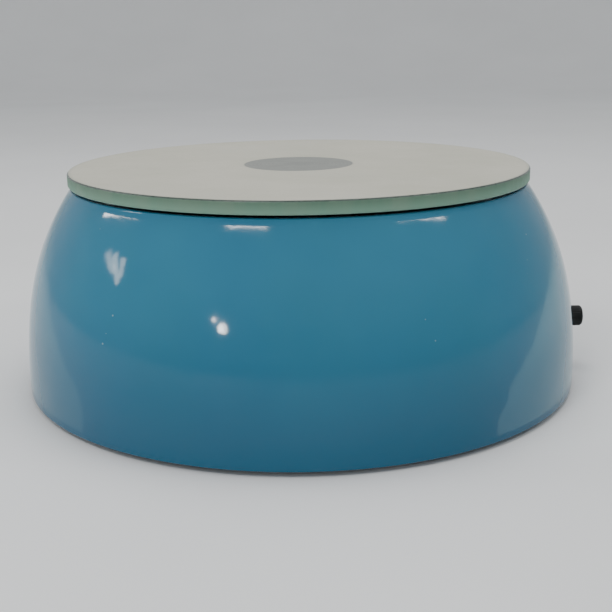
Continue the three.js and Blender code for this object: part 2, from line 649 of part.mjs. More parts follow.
function addBearing(prefix, foot) {
  const group = addGroup(0, 0, foot);
  addPart(`${prefix}_bearing_outer_race`, outerRace(), materials.bearingSteel, group);
  addPart(`${prefix}_bearing_inner_race`, innerRace(), materials.bearingSteel, group);
  addPart(`${prefix}_bearing_ball_cage`, ballCage(), materials.bearingSteel, group);
}

// The flanged tube that holds both bearings upright over the base plate.
function spindleHousing() {
  const seat = BEARING_RADIUS + BORE_GAP;
  const ledge = BEARING_RADIUS - SLEEVE_LEDGE;
  const lowerLedge = LOWER_BEARING_FOOT + BEARING_WIDTH + SEAT_GAP;
  const upperLedge = UPPER_BEARING_FOOT - SEAT_GAP;
  const flangeTop = SLEEVE_FOOT + SLEEVE_FLANGE_THICKNESS;
  const sleeve = turnedRing([
    [seat, SLEEVE_FOOT], [SLEEVE_FLANGE_RADIUS, SLEEVE_FOOT], [SLEEVE_FLANGE_RADIUS, flangeTop],
    [SLEEVE_RADIUS, flangeTop], [SLEEVE_RADIUS, SLEEVE_TOP], [seat, SLEEVE_TOP], [seat, upperLedge],
    [ledge, upperLedge], [ledge, lowerLedge], [seat, lowerLedge],
  ], 24);
  const cut = CORNER_ANGLES.map((angle) => {
    const hole = bar(SLEEVE_SCREW_RADIUS + BORE_GAP, SLEEVE_FOOT - 1, flangeTop + 1, 8);
    return onCircle(hole, SLEEVE_SCREW_CIRCLE, angle);
  });
  return carve(sleeve, { cut });
}

function addSpindleSupport() {
  const lip = PULLEY_NOSE_RADIUS + 1.5 * BORE_GAP;
  const seal = ring(lip, BEARING_RADIUS, SEAL_FOOT, SEAL_FOOT + SEAL_THICKNESS, SEAL_SIDES);
  addPart('spindle_housing', spindleHousing(), materials.castAluminium);
  addPart('shaft_seal', seal, materials.rubber);
  addBearing('lower', LOWER_BEARING_FOOT);
  addBearing('upper', UPPER_BEARING_FOOT);
}

// ---------------------------------------------------------------- belt drive

// The flanged edge of a pulley, from its foot up to its top.
function pulleyEdge(radius) {
  const lip = radius + PULLEY_FLANGE;
  const low = PULLEY_FOOT + PULLEY_FLANGE_WIDTH;
  const high = PULLEY_TOP - PULLEY_FLANGE_WIDTH;
  return [[lip, PULLEY_FOOT], [lip, low], [radius, low], [radius, high], [lip, high], [lip, PULLEY_TOP]];
}

function drivenPulley() {
  const bore = SPINDLE_RADIUS + BORE_GAP;
  const noseFoot = UPPER_BEARING_FOOT + BEARING_WIDTH + SEAT_GAP;
  const rimInside = DRIVEN_RADIUS - PULLEY_RIM_WALL;
  const webFoot = KEY_MIDDLE - PULLEY_WEB / 2;
  const webTop = KEY_MIDDLE + PULLEY_WEB / 2;
  const pulley = turnedRing([
    [bore, noseFoot], [PULLEY_NOSE_RADIUS, noseFoot], [PULLEY_NOSE_RADIUS, PULLEY_FOOT],
    [PULLEY_HUB_RADIUS, PULLEY_FOOT], [PULLEY_HUB_RADIUS, webFoot], [rimInside, webFoot],
    [rimInside, PULLEY_FOOT], ...pulleyEdge(DRIVEN_RADIUS), [rimInside, PULLEY_TOP], [rimInside, webTop],
    [PULLEY_HUB_RADIUS, webTop], [PULLEY_HUB_RADIUS, PULLEY_TOP], [bore, PULLEY_TOP],
  ], 28);
  const halfWidth = KEY_WIDTH / 2 + BORE_GAP;
  const keywayX = [0, KEY_OUTER_X + BORE_GAP];
  const keyway = block(keywayX, [-halfWidth, halfWidth], [noseFoot - 1, PULLEY_TOP + 1]);
  return carve(pulley, { cut: [keyway] });
}

function motorPulley() {
  const bore = MOTOR_SHAFT_RADIUS + BORE_GAP;
  return turnedRing([[bore, PULLEY_FOOT], ...pulleyEdge(MOTOR_PULLEY_RADIUS), [bore, PULLEY_TOP]], 20);
}

// One closed loop round both pulleys, at a distance outside their rims.
function beltLoop(path, distance) {
  const wrap = Math.acos((MOTOR_PULLEY_RADIUS - DRIVEN_RADIUS) / -MOTOR_X);
  path.absarc(0, 0, DRIVEN_RADIUS + distance, -wrap, wrap, false);
  path.absarc(MOTOR_X, 0, MOTOR_PULLEY_RADIUS + distance, wrap, 2 * Math.PI - wrap, false);
  return path;
}

function driveBelt() {
  const outline = beltLoop(new THREE.Shape(), BELT_GAP + BELT_THICKNESS);
  outline.holes.push(beltLoop(new THREE.Path(), BELT_GAP));
  const edge = PULLEY_FLANGE_WIDTH + BORE_GAP;
  const belt = new THREE.ExtrudeGeometry(outline, {
    depth: PULLEY_WIDTH - 2 * edge, bevelEnabled: false, curveSegments: 20,
  });
  return belt.translate(0, 0, PULLEY_FOOT + edge);
}

// ---------------------------------------------------------------- motor

const MOTOR_SIDES = 20;

function motorCap(foot, shaftHole, screwHoles) {
  const cap = bar(MOTOR_RADIUS, foot, foot + MOTOR_CAP_THICKNESS, MOTOR_SIDES);
  const bore = bar(MOTOR_SHAFT_RADIUS + BORE_GAP, shaftHole[0], shaftHole[1], 12);
  return carve(cap, { cut: [bore, ...screwHoles] });
}

const MOTOR_SCREW_RADIUS = 2;
const MOTOR_SCREW_TIP = MOTOR_TOP - 5;

function motorScrew() {
  const seat = BRACKET_TOP + SEAT_GAP;
  const r = MOTOR_SCREW_RADIUS;
  return turned([
    [0, MOTOR_SCREW_TIP], [r, MOTOR_SCREW_TIP], [r, seat], [2 * r, seat], [2 * r, seat + 2],
    [0.8 * r, seat + 3], [0.8 * r, seat + 1.5], [0, seat + 1.5],
  ], SCREW_SIDES);
}

function motorArmature() {
  const rotorRadius = MOTOR_RADIUS - MOTOR_WALL - MOTOR_AIR_GAP;
  const low = MOTOR_FOOT + MOTOR_CAP_THICKNESS + 3;
  const high = MOTOR_TOP - MOTOR_CAP_THICKNESS - 3;
  const r = MOTOR_SHAFT_RADIUS;
  return turned([
    [0, MOTOR_FOOT + 3], [r, MOTOR_FOOT + 3], [r, low], [3 * r, low], [3 * r, low + 8],
    [rotorRadius, low + 8], [rotorRadius, high], [r, high], [r, PULLEY_TOP - 1], [0, PULLEY_TOP - 1],
  ], 16);
}

// A folded sheet bridge: a slotted top plate, two legs and two foot flanges.
function motorBracket() {
  const x = [-BRACKET_HALF_LENGTH, BRACKET_HALF_LENGTH];
  const foot = BASE_THICKNESS + SEAT_GAP;
  const outer = BRACKET_HALF_WIDTH;
  const top = block(x, [-outer, outer], [BRACKET_TOP - BRACKET_SHEET, BRACKET_TOP]);
  const add = [];
  const window = 2 * MOTOR_SHAFT_RADIUS;
  const windowX = [-window - TENSION_TRAVEL, window + TENSION_TRAVEL];
  const cut = [block(windowX, [-window, window], [0, BRACKET_TOP + 1])];
  for (const side of [1, -1]) {
    const span = (low, high) => (side > 0 ? [low, high] : [-high, -low]);
    add.push(block(x, span(outer - BRACKET_SHEET, outer), [foot, BRACKET_TOP]));
    add.push(block(x, span(outer - BRACKET_SHEET, outer + BRACKET_FLANGE), [foot, foot + BRACKET_SHEET]));
    const halfSlot = MOTOR_SCREW_RADIUS + BORE_GAP;
    const slotX = [-halfSlot - TENSION_TRAVEL, halfSlot + TENSION_TRAVEL];
    const slotZ = [BRACKET_TOP - BRACKET_SHEET - 1, BRACKET_TOP + 1];
    cut.push(block(slotX, span(MOTOR_SCREW_OFFSET - halfSlot, MOTOR_SCREW_OFFSET + halfSlot), slotZ));
    const hole = bar(BRACKET_SCREW_RADIUS + BORE_GAP, foot - 1, foot + BRACKET_SHEET + 1, 8);
    cut.push(hole.translate(0, side * BRACKET_SCREW_Y, 0));
  }
  return carve(top, { add, cut });
}

function addDrive() {
  const motor = addGroup(MOTOR_X, 0, 0);
  const capTop = MOTOR_FOOT + MOTOR_CAP_THICKNESS;
  const frontFoot = MOTOR_TOP - MOTOR_CAP_THICKNESS;
  const holeFoot = MOTOR_SCREW_TIP - SEAT_GAP;
  const holes = [1, -1].map((side) => {
    const hole = bar(MOTOR_SCREW_RADIUS + BORE_GAP, holeFoot, MOTOR_TOP + 1, SCREW_SIDES);
    return hole.translate(0, side * MOTOR_SCREW_OFFSET, 0);
  });
  const inner = MOTOR_RADIUS - MOTOR_WALL;
  const can = ring(inner, MOTOR_RADIUS, capTop + SEAT_GAP, frontFoot - SEAT_GAP, MOTOR_SIDES);
  const rearCap = motorCap(MOTOR_FOOT, [MOTOR_FOOT + 3 - SEAT_GAP, capTop + 1], []);
  const frontCap = motorCap(frontFoot, [frontFoot - 1, MOTOR_TOP + 1], holes);
  addPart('motor_can', can, materials.motorPaint, motor);
  addPart('motor_rear_cap', rearCap, materials.castAluminium, motor);
  addPart('motor_front_cap', frontCap, materials.castAluminium, motor);
  addPart('motor_armature', motorArmature(), materials.steel, motor);
  addPart('motor_pulley', motorPulley(), materials.castAluminium, motor);
  addPart('motor_bracket', motorBracket(), materials.zincScrew, motor);
  [1, -1].forEach((side, i) => {
    const screw = motorScrew().translate(0, side * MOTOR_SCREW_OFFSET, 0);
    addPart(`motor_screw_${i + 1}`, screw, materials.zincScrew, motor);
  });
  addPart('driven_pulley', drivenPulley(), materials.castAluminium);
  addPart('drive_belt', driveBelt(), materials.rubber);
}

// ---------------------------------------------------------------- electronics

// The four corners of the board, where its standoffs are.
function boardCorners() {
  const x = BOARD_LENGTH / 2 - STANDOFF_INSET;
  const y = BOARD_WIDTH / 2 - STANDOFF_INSET;
  return [[x, y], [-x, y], [-x, -y], [x, -y]];
}

function controlBoard() {
  const [x, y] = [BOARD_LENGTH / 2, BOARD_WIDTH / 2];
  const cut = boardCorners().map(([cx, cy]) => bar(1.6, -1, BOARD_THICKNESS + 1, 8).translate(cx, cy, 0));
  return carve(block([-x, x], [-y, y], [0, BOARD_THICKNESS]), { cut });
}

function heatSink() {
  const outline = [[0, 0], [0, FIN_HEIGHT]];
  for (let i = 1; i < FIN_COUNT; i += 1) {
    const x = i * FIN_PITCH;
    const lastFin = x - FIN_PITCH + FIN_THICKNESS;
    outline.push([lastFin, FIN_HEIGHT], [lastFin, FIN_FLOOR], [x, FIN_FLOOR], [x, FIN_HEIGHT]);
  }
  const width = (FIN_COUNT - 1) * FIN_PITCH + FIN_THICKNESS;
  outline.push([width, FIN_HEIGHT], [width, 0]);
  const shape = new THREE.Shape(outline.map(([x, y]) => new THREE.Vector2(x, y)));
  const comb = new THREE.ExtrudeGeometry(shape, { depth: HEAT_SINK_LENGTH, bevelEnabled: false });
  return comb.rotateX(Math.PI / 2).translate(-width / 2, HEAT_SINK_LENGTH / 2, 0);
}

function capacitor() {
  const r = CAPACITOR_RADIUS;
  return turned([
    [0, 0], [r, 0], [r, 3], [r - 1, 4], [r, 5], [r, CAPACITOR_HEIGHT - 1],
    [r - 1, CAPACITOR_HEIGHT], [0, CAPACITOR_HEIGHT],
  ], 16);
}

function terminalBlock() {
  const half = TERMINAL_LENGTH / 2;
  const depth = TERMINAL_DEPTH / 2;
  const mouth = [depth - 3, depth + 1];
  const cut = [-15, -5, 5, 15].map((x) => block([x - 3.5, x + 3.5], mouth, [5, TERMINAL_HEIGHT + 1]));
  return carve(block([-half, half], [-depth, depth], [0, TERMINAL_HEIGHT]), { cut });
}

const TERMINAL_Y = BOARD_WIDTH / 2 - TERMINAL_DEPTH / 2 - 3;

function addElectronics() {
  const board = addGroup(BOARD_X, 0, BOARD_FOOT);
  const onBoard = addGroup(BOARD_X, 0, BOARD_TOP + SEAT_GAP);
  addPart('control_board', controlBoard(), materials.laminate, board);
  boardCorners().forEach(([x, y], i) => {
    const post = bar(STANDOFF_RADIUS, BASE_THICKNESS + SEAT_GAP - BOARD_FOOT, -SEAT_GAP, 6);
    addPart(`board_standoff_${i + 1}`, post.translate(x, y, 0), materials.zincScrew, board);
  });
  addPart('heat_sink', heatSink().translate(-8, -18, 0), materials.castAluminium, onBoard);
  addPart('capacitor', capacitor().translate(26, 16, 0), materials.sleeving, onBoard);
  addPart('terminal_block', terminalBlock().translate(-8, TERMINAL_Y, 0), materials.terminal, onBoard);
}

// ---------------------------------------------------------------- speed control

const NUT_X = wallRadius(KNOB_HEIGHT - NUT_RADIUS) + SEAT_GAP;
const NUT_TOP_X = NUT_X + NUT_THICKNESS;
const KNOB_FOOT_X = wallRadius(KNOB_HEIGHT) + KNOB_STANDOFF;
const KNOB_TIP_X = KNOB_FOOT_X + KNOB_LENGTH;
const POT_FACE_X = POT_PAD_X - SEAT_GAP;
const POT_SHAFT_END_X = KNOB_TIP_X - KNOB_WALL - SEAT_GAP;

// The potentiometer's can and bushing, open along its axis for the turning shaft.
function potBody() {
  const bore = POT_SHAFT_RADIUS + BORE_GAP;
  const back = POT_FACE_X - POT_DEPTH;
  const end = NUT_TOP_X + 0.8;
  return turned([
    [0, back], [POT_RADIUS, back], [POT_RADIUS, POT_FACE_X], [BUSHING_RADIUS, POT_FACE_X],
    [BUSHING_RADIUS, end], [bore, end], [bore, back + 3], [0, back + 3],
  ], 16);
}

// A turned knob that tapers to its tip, hollow at the back to cover the nut.
function speedKnob() {
  const r = KNOB_RADIUS;
  const bore = POT_SHAFT_RADIUS + BORE_GAP;
  const pocket = KNOB_RADIUS - KNOB_WALL;
  const boreEnd = POT_SHAFT_END_X + SEAT_GAP;
  const pocketEnd = KNOB_FOOT_X + KNOB_POCKET_DEPTH;
  return turned([
    [0, boreEnd], [bore, boreEnd], [bore, pocketEnd], [pocket, pocketEnd], [pocket, KNOB_FOOT_X],
    [r, KNOB_FOOT_X], [r - 0.2, KNOB_TIP_X - 1], [r - 1.2, KNOB_TIP_X], [0, KNOB_TIP_X],
  ], 16);
}

function addSpeedControl() {
  const control = addGroup(0, 0, KNOB_HEIGHT);
  const nutBore = bar(BUSHING_RADIUS + BORE_GAP, NUT_X - 1, NUT_TOP_X + 1, 12);
  const nut = carve(bar(NUT_RADIUS, NUT_X, NUT_TOP_X, 6), { cut: [nutBore] });
  const shaft = bar(POT_SHAFT_RADIUS, POT_FACE_X - POT_DEPTH + 3 + SEAT_GAP, POT_SHAFT_END_X, 12);
  addPart('speed_pot_body', alongX(potBody()), materials.zincScrew, control);
  addPart('speed_pot_nut', alongX(nut), materials.steel, control);
  addPart('speed_pot_shaft', alongX(shaft), materials.steel, control);
  addPart('speed_knob', alongX(speedKnob()), materials.blackPlastic, control);
}

// ---------------------------------------------------------------- power inlet and switch

const INLET_FACE_Y = RECESS_FLOOR_Y + SEAT_GAP + INLET_FLANGE_THICKNESS;
const ROCKER_PIVOT_Y = INLET_FACE_Y - ROCKER_PIVOT_DEPTH;
const WELL_HALF_WIDTH = ROCKER_HALF_WIDTH + BORE_GAP;
const WELL_HALF_HEIGHT = ROCKER_HALF_HEIGHT + 1.3;
const WELL_DEPTH = 6.5; // behind the rocker's pivot
const PIN_PLACES = [[-7, -2], [0, 1], [7, -2]]; // across and up from the socket's middle

function powerInlet() {
  const flangeX = INLET_HALF_WIDTH + INLET_FLANGE;
  const flangeZ = INLET_HALF_HEIGHT + INLET_FLANGE;
  const flangeFoot = RECESS_FLOOR_Y + SEAT_GAP;
  const socketFloor = INLET_FACE_Y - SOCKET_DEPTH;
  const body = block(
    [-INLET_HALF_WIDTH, INLET_HALF_WIDTH], [flangeFoot - INLET_DEPTH, flangeFoot + 1],
    [-INLET_HALF_HEIGHT, INLET_HALF_HEIGHT],
  );
  const flange = block([-flangeX, flangeX], [flangeFoot, INLET_FACE_Y], [-flangeZ, flangeZ]);
  const socket = block(
    [SOCKET_X - SOCKET_HALF_WIDTH, SOCKET_X + SOCKET_HALF_WIDTH], [socketFloor, INLET_FACE_Y + 1],
    [-SOCKET_HALF_HEIGHT, SOCKET_HALF_HEIGHT],
  );
  const well = block(
    [ROCKER_X - WELL_HALF_WIDTH, ROCKER_X + WELL_HALF_WIDTH],
    [ROCKER_PIVOT_Y - WELL_DEPTH, INLET_FACE_Y + 1], [-WELL_HALF_HEIGHT, WELL_HALF_HEIGHT],
  );
  const reach = TRUNNION_REACH + SEAT_GAP;
  const trunnionHole = alongX(bar(TRUNNION_RADIUS + BORE_GAP, ROCKER_X - reach, ROCKER_X + reach, 8));
  trunnionHole.translate(0, ROCKER_PIVOT_Y, 0);
  const holed = carve(body, { add: [flange], cut: [socket, well, trunnionHole] });
  const pins = PIN_PLACES.map(([x, z]) => block(
    [SOCKET_X + x - PIN_HALF_WIDTH, SOCKET_X + x + PIN_HALF_WIDTH],
    [socketFloor - 1, socketFloor + PIN_LENGTH], [z - PIN_HALF_HEIGHT, z + PIN_HALF_HEIGHT],
  ));
  return carve(holed, { add: pins });
}

// The rocker in side view, pivoting on its own origin, with a shallow V for a face.
function switchRocker() {
  const tall = ROCKER_HALF_HEIGHT;
  const outline = [
    [5, -tall], [3.4, 0], [5, tall], [1.5, tall - 0.4], [-5, 3], [-5, -3], [1.5, 0.4 - tall],
  ];
  const shape = new THREE.Shape(outline.map(([out, up]) => new THREE.Vector2(out, up)));
  const slab = new THREE.ExtrudeGeometry(shape, { depth: 2 * ROCKER_HALF_WIDTH, bevelEnabled: false });
  slab.translate(0, 0, -ROCKER_HALF_WIDTH).rotateY(Math.PI / 2).rotateX(Math.PI / 2);
  const trunnions = alongX(bar(TRUNNION_RADIUS, -TRUNNION_REACH, TRUNNION_REACH, 8));
  return carve(slab, { add: [trunnions] });
}

function addPower() {
  const inlet = addGroup(0, 0, INLET_Z);
  addPart('power_inlet', powerInlet(), materials.blackPlastic, inlet);
  const rocker = addPart('switch_rocker', switchRocker(), materials.blackPlastic, inlet);
  rocker.position.set(ROCKER_X, ROCKER_PIVOT_Y, 0);
  rocker.rotation.x = -ROCKER_TILT;
}

// ---------------------------------------------------------------- internal leads

function addLeads() {
  const terminalX = BOARD_X - 8;
  const terminalFace = TERMINAL_Y + TERMINAL_DEPTH / 2 + LEAD_END_GAP;
  const wireZ = BOARD_TOP + 9;
  const inletBack = RECESS_FLOOR_Y - INLET_DEPTH - LEAD_END_GAP;
  const motorExit = MOTOR_RADIUS + LEAD_END_GAP;
  const cornerX = MOTOR_X + motorExit * Math.SQRT1_2;
  const cornerY = motorExit * Math.SQRT1_2;
  const low = BASE_THICKNESS + 2 * LEAD_RADIUS + LEAD_SAG;
  const mains = [
    [-9, inletBack, INLET_Z], [-5, inletBack - 16, INLET_Z - 4], [30, inletBack - 40, low],
    [terminalX, terminalFace + 40, low], [terminalX + 5, terminalFace + 14, wireZ - 4],
    [terminalX + 5, terminalFace, wireZ],
  ];
  const motor = [
    [cornerX, cornerY, MOTOR_FOOT + 16], [cornerX + 18, cornerY + 18, MOTOR_FOOT + 10],
    [-30, SLEEVE_FLANGE_RADIUS + 18, low], [25, SLEEVE_FLANGE_RADIUS + 22, low],
    [terminalX - 15, terminalFace + 16, wireZ - 6], [terminalX - 15, terminalFace, wireZ],
  ];
  const potBack = POT_FACE_X - POT_DEPTH;
  const pot = [
    [potBack - LEAD_END_GAP, 0, KNOB_HEIGHT - 2], [potBack - 8, -1, KNOB_HEIGHT - 4],
    [BOARD_OUTER_X + 6, -3, BOARD_TOP + 6], [BOARD_OUTER_X - 4, -4, BOARD_TOP + LEAD_RADIUS + 0.8],
  ];
  addPart('mains_lead', tube(mains, LEAD_RADIUS, 16), materials.sleeving);
  addPart('motor_lead', tube(motor, LEAD_RADIUS, 16), materials.sleeving);
  addPart('pot_lead', tube(pot, LEAD_RADIUS * 0.7, 10), materials.sleeving);
}

// ---------------------------------------------------------------- assembly

addWheel();
addSpindleSupport();
addDrive();
addPart('housing_shell', housingShell(), materials.blueGelcoat);
addPart('base_plate', basePlate(), materials.basePaint);
addFeetAndScrews();
addElectronics();
addSpeedControl();
addPower();
addLeads();

export default object;
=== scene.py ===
"""A compact electric pottery wheel: the looks that go over its CAD frame, with studio, light and camera."""
import json
import math

import bmesh
import bpy
from mathutils import Matrix, Vector


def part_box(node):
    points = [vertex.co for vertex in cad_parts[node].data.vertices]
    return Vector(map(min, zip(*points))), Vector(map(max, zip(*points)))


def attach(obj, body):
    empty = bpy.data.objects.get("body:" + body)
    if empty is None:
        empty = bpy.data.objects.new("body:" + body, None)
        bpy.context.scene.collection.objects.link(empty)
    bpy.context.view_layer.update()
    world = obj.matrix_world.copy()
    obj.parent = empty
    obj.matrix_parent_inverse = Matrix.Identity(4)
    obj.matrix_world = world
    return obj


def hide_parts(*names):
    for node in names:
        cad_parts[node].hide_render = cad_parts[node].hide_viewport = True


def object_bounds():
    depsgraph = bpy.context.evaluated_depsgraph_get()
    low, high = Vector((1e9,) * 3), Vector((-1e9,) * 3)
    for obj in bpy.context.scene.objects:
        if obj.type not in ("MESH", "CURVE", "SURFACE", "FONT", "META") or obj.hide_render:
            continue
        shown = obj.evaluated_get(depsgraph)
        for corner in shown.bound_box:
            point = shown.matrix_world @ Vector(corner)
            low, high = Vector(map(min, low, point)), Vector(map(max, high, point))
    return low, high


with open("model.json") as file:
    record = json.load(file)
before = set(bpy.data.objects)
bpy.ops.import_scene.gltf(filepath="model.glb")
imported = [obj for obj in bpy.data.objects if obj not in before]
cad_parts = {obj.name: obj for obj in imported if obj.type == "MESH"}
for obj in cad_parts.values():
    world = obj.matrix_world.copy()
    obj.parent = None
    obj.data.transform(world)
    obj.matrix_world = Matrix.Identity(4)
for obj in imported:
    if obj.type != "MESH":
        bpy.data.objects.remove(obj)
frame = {"nodes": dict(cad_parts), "record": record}
cad_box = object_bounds()

MM = 0.001

# ---------------------------------------------------------------- sizes read from the frame

DISC_LOW, DISC_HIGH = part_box("wheelhead_disc")
SHELL_LOW, SHELL_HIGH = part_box("housing_shell")
BASE_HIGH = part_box("base_plate")[1]
KNOB_LOW, KNOB_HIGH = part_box("speed_knob")
INLET_LOW, INLET_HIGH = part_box("power_inlet")
MOTOR_X = (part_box("motor_can")[0].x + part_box("motor_can")[1].x) / 2

DISC_RADIUS = DISC_HIGH.x
HUB_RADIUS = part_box("hub_flange")[1].x
HUB_BLUR = 0.6 * MM  # how far the frosting blurs the hub's outline
HUB_RING_PITCH = 2.6 * MM
SPINDLE_SPOT = (9.6 * MM, 10.6 * MM)
FACE_MARK_PITCH = 0.9 * MM
RIM_RADIUS = DISC_RADIUS - 1 * MM
WIDEST = SHELL_HIGH.y
RIM_Z = SHELL_HIGH.z
SKIRT_Z = SHELL_LOW.z

# The housing's section, as the CAD shell has it.
WALL = 4 * MM
RIM_WIDTH = 5 * MM
RIM_ROUND = 1.2 * MM
SHOULDER_LEAN = math.radians(35)
SHOULDER_PULL = 41 * MM
SKIRT_PULL = 55.5 * MM
SKIRT_TOP = 3 * MM
TRAY_DEPTH = 12 * MM
COLLAR_BORE = 26 * MM
COLLAR_HEIGHT = 5.5 * MM
TRAY_Z = RIM_Z - TRAY_DEPTH
DECK_Z = TRAY_Z - WALL

# The recess at the back and what stands in it.
RECESS_HALF = 33 * MM
RECESS_Z = (9 * MM, 45 * MM)
RECESS_FLOOR = INLET_HIGH.y - 2.3 * MM
INLET_FACE = INLET_HIGH.y
INLET_Z = (INLET_LOW.z + INLET_HIGH.z) / 2
INLET_HOLE_HALF = (23.8 * MM, 13.6 * MM)
INLET_BODY_HALF = (23.5 * MM, 13.3 * MM)
SOCKET_X = -9.5 * MM
SOCKET_HALF = (12.1 * MM, 8.2 * MM)
SOCKET_DEPTH = 16 * MM
SOCKET_LIP = 0.5 * MM
CONTACT_HALF = (1 * MM, 2 * MM)
CONTACT_LENGTH = 9 * MM
CONTACTS = ((-7 * MM, -2 * MM), (0, 1 * MM), (7 * MM, -2 * MM))
ROCKER_X = 15.5 * MM
ROCKER_HALF = (5.5 * MM, 9 * MM)
ROCKER_PIVOT = INLET_FACE - 4 * MM
ROCKER_TILT = math.radians(9)
ROCKER_FRONT = 5 * MM
ROCKER_DIP = 3.4 * MM  # the front's height above the pivot at mid length
TRUNNION_RADIUS = 1.2 * MM
TRUNNION_HALF = 7.2 * MM
MARK_HALF_DEPTH = 0.1 * MM
MARK_FROM_MIDDLE = 5.6 * MM

# The lugs for the housing screws, and the pad behind the speed control.
LUG_CIRCLE = WIDEST - 15.7 * MM
LUG_HALF = (11 * MM, 8 * MM)
LUG_OUTWARD = 3 * MM
LUG_Z = (3.3 * MM, 23 * MM)
PILOT_RADIUS = 2.3 * MM
PILOT_TOP = 18.3 * MM
PAD_HALF = 12 * MM
POT_TO_PAD = 9.3 * MM  # from the speed control's back to the pad's inner face
POT_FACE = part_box("speed_pot_body")[0].x + POT_TO_PAD
POT_HOLE_RADIUS = 3.8 * MM

# The base plate and the feet.
GROOVE = (60 * MM, 65 * MM)
GROOVE_DEPTH = 1 * MM
VENT_HALF = (14 * MM, 2 * MM)
VENT_PITCH = 9 * MM
VENTS = 5
SINK_TOP = 4 * MM  # a cutter's upper end, above the plate
FOOT_HOLE_RADIUS = 4.3 * MM
FOOT_NECK = 4 * MM
FOOT_BARB = 5.5 * MM
FOOT_SHOULDER = -0.3 * MM
FOOT_BARB_Z = 3.3 * MM
SOLE_RINGS = (3.0, 5.2, 7.4)  # mm
SOLE_RIB = 0.5 * MM

# The speed knob.
KNOB_FLUTES = 36
STEPS_PER_FLUTE = 6
FLUTE_DEPTH = 0.32 * MM
KNOB_BORE = 2.8 * MM
KNOB_HOLLOW = 5.8 * MM
KNOB_HOLLOW_DEPTH = 4 * MM
KNOB_CAP = 1.8 * MM

CORNERS = [math.radians(a) for a in (45, 135, 225, 315)]
OVER = 1 * MM  # how far a cutter reaches past what it cuts
ROUND = 256  # steps round a large turned piece


# ---------------------------------------------------------------- mesh helpers

def new_object(name, verts, faces, slots=(), face_slots=None):
    """An object from vertices and faces, with its materials and the material of each face."""
    mesh = bpy.data.meshes.new(name)
    mesh.from_pydata([tuple(v) for v in verts], [], faces)
    for material in slots:
        mesh.materials.append(material)
    if face_slots:
        mesh.polygons.foreach_set("material_index", face_slots)
    obj = bpy.data.objects.new(name, mesh)
    bpy.context.scene.collection.objects.link(obj)
    return obj


def smooth(obj, degrees=32):
    """Smooth shading, with edges sharper than the angle kept crisp."""
    obj.data.shade_smooth()
    obj.data.set_sharp_from_angle(angle=math.radians(degrees))
    return obj


def arc(centre, radius, start, end, steps):
    """Points on an arc, from one angle in degrees to another."""
    out = []
    for i in range(steps + 1):
        a = math.radians(start + (end - start) * i / steps)
        out.append((centre[0] + radius * math.cos(a), centre[1] + radius * math.sin(a)))
    return out


def rounded(points, radius, steps=4, closed=False):
    """A polyline with its corners rounded. points are (x, y) or (x, y, own radius)."""
    out = []
    count = len(points)
    for i, point in enumerate(points):
        own = point[2] if len(point) > 2 else radius
        here = Vector(point[:2])
        at_end = not closed and i in (0, count - 1)
        if at_end or own <= 0:
            out.append(tuple(here))
            continue
        before = Vector(points[i - 1][:2]) - here
        after = Vector(points[(i + 1) % count][:2]) - here
        cut = min(own, before.length * 0.49, after.length * 0.49)
        a = here + before.normalized() * cut
        b = here + after.normalized() * cut
        for k in range(steps + 1):
            t = k / steps
            out.append(tuple(a * (1 - t) ** 2 + here * 2 * t * (1 - t) + b * t * t))
    return out


def turned(name, profile, slots, steps=ROUND, slot_of=None, place=(0, 0, 0), closed=False):
    """A profile of (radius, height) points turned about +Z. It runs anticlockwise, as in the CAD model.
    slot_of gives the material of the strip between two profile points, from its middle radius, its middle
    height and whether it is steep."""
    verts, faces, face_slots, rings = [], [], [], []
    for radius, height in profile:
        if radius < 1e-7:
            rings.append([len(verts)])
            verts.append(Vector((0, 0, height)))
            continue
        ring = []
        for i in range(steps):
            a = 2 * math.pi * i / steps
            ring.append(len(verts))
            verts.append(Vector((radius * math.cos(a), radius * math.sin(a), height)))
        rings.append(ring)
    strips = list(zip(range(len(rings)), range(1, len(rings))))
    if closed:
        strips.append((len(rings) - 1, 0))
    for low, high in strips:
        (r0, z0), (r1, z1) = profile[low], profile[high]
        which = slot_of((r0 + r1) / 2, (z0 + z1) / 2, abs(z1 - z0) > abs(r1 - r0)) if slot_of else 0
        for i in range(steps):
            j = (i + 1) % steps
            a, b = rings[low], rings[high]
            if len(a) == 1 and len(b) == 1:
                continue
            if len(a) == 1:
                face = (a[0], b[j], b[i])
            elif len(b) == 1:
                face = (a[i], a[j], b[0])
            else:
                face = (a[i], a[j], b[j], b[i])
            faces.append(face)
            face_slots.append(which)
    return new_object(name, [v + Vector(place) for v in verts], faces, slots, face_slots)


def prism(name, outline, low, high, axis="Z", slots=(), bevel=0.0, bevel_steps=3):
    """An outline of (u, v) points drawn out between two levels along an axis, with rounded edges.
    Along X the outline is (y, z); along Y it is (x, z), and along Z it is (x, y)."""
    place = {
        "X": lambda u, v, w: (w, u, v),
        "Y": lambda u, v, w: (u, w, v),
        "Z": lambda u, v, w: (u, v, w),
    }[axis]
    count = len(outline)
    verts = [place(u, v, low) for u, v in outline] + [place(u, v, high) for u, v in outline]
    faces = [tuple(range(count))[::-1], tuple(range(count, 2 * count))]
    faces += [(i, (i + 1) % count, count + (i + 1) % count, count + i) for i in range(count)]
    obj = new_object(name, verts, faces, slots)
    bm = bmesh.new()
    bm.from_mesh(obj.data)
    bmesh.ops.recalc_face_normals(bm, faces=bm.faces)
    if bevel:
        edges = [e for e in bm.edges if len(e.link_faces) == 2 and e.calc_face_angle() > math.radians(30)]
        bmesh.ops.bevel(bm, geom=edges, offset=bevel, segments=bevel_steps, profile=0.5, affect="EDGES",
                        clamp_overlap=True)
    bm.to_mesh(obj.data)
    bm.free()
    return obj


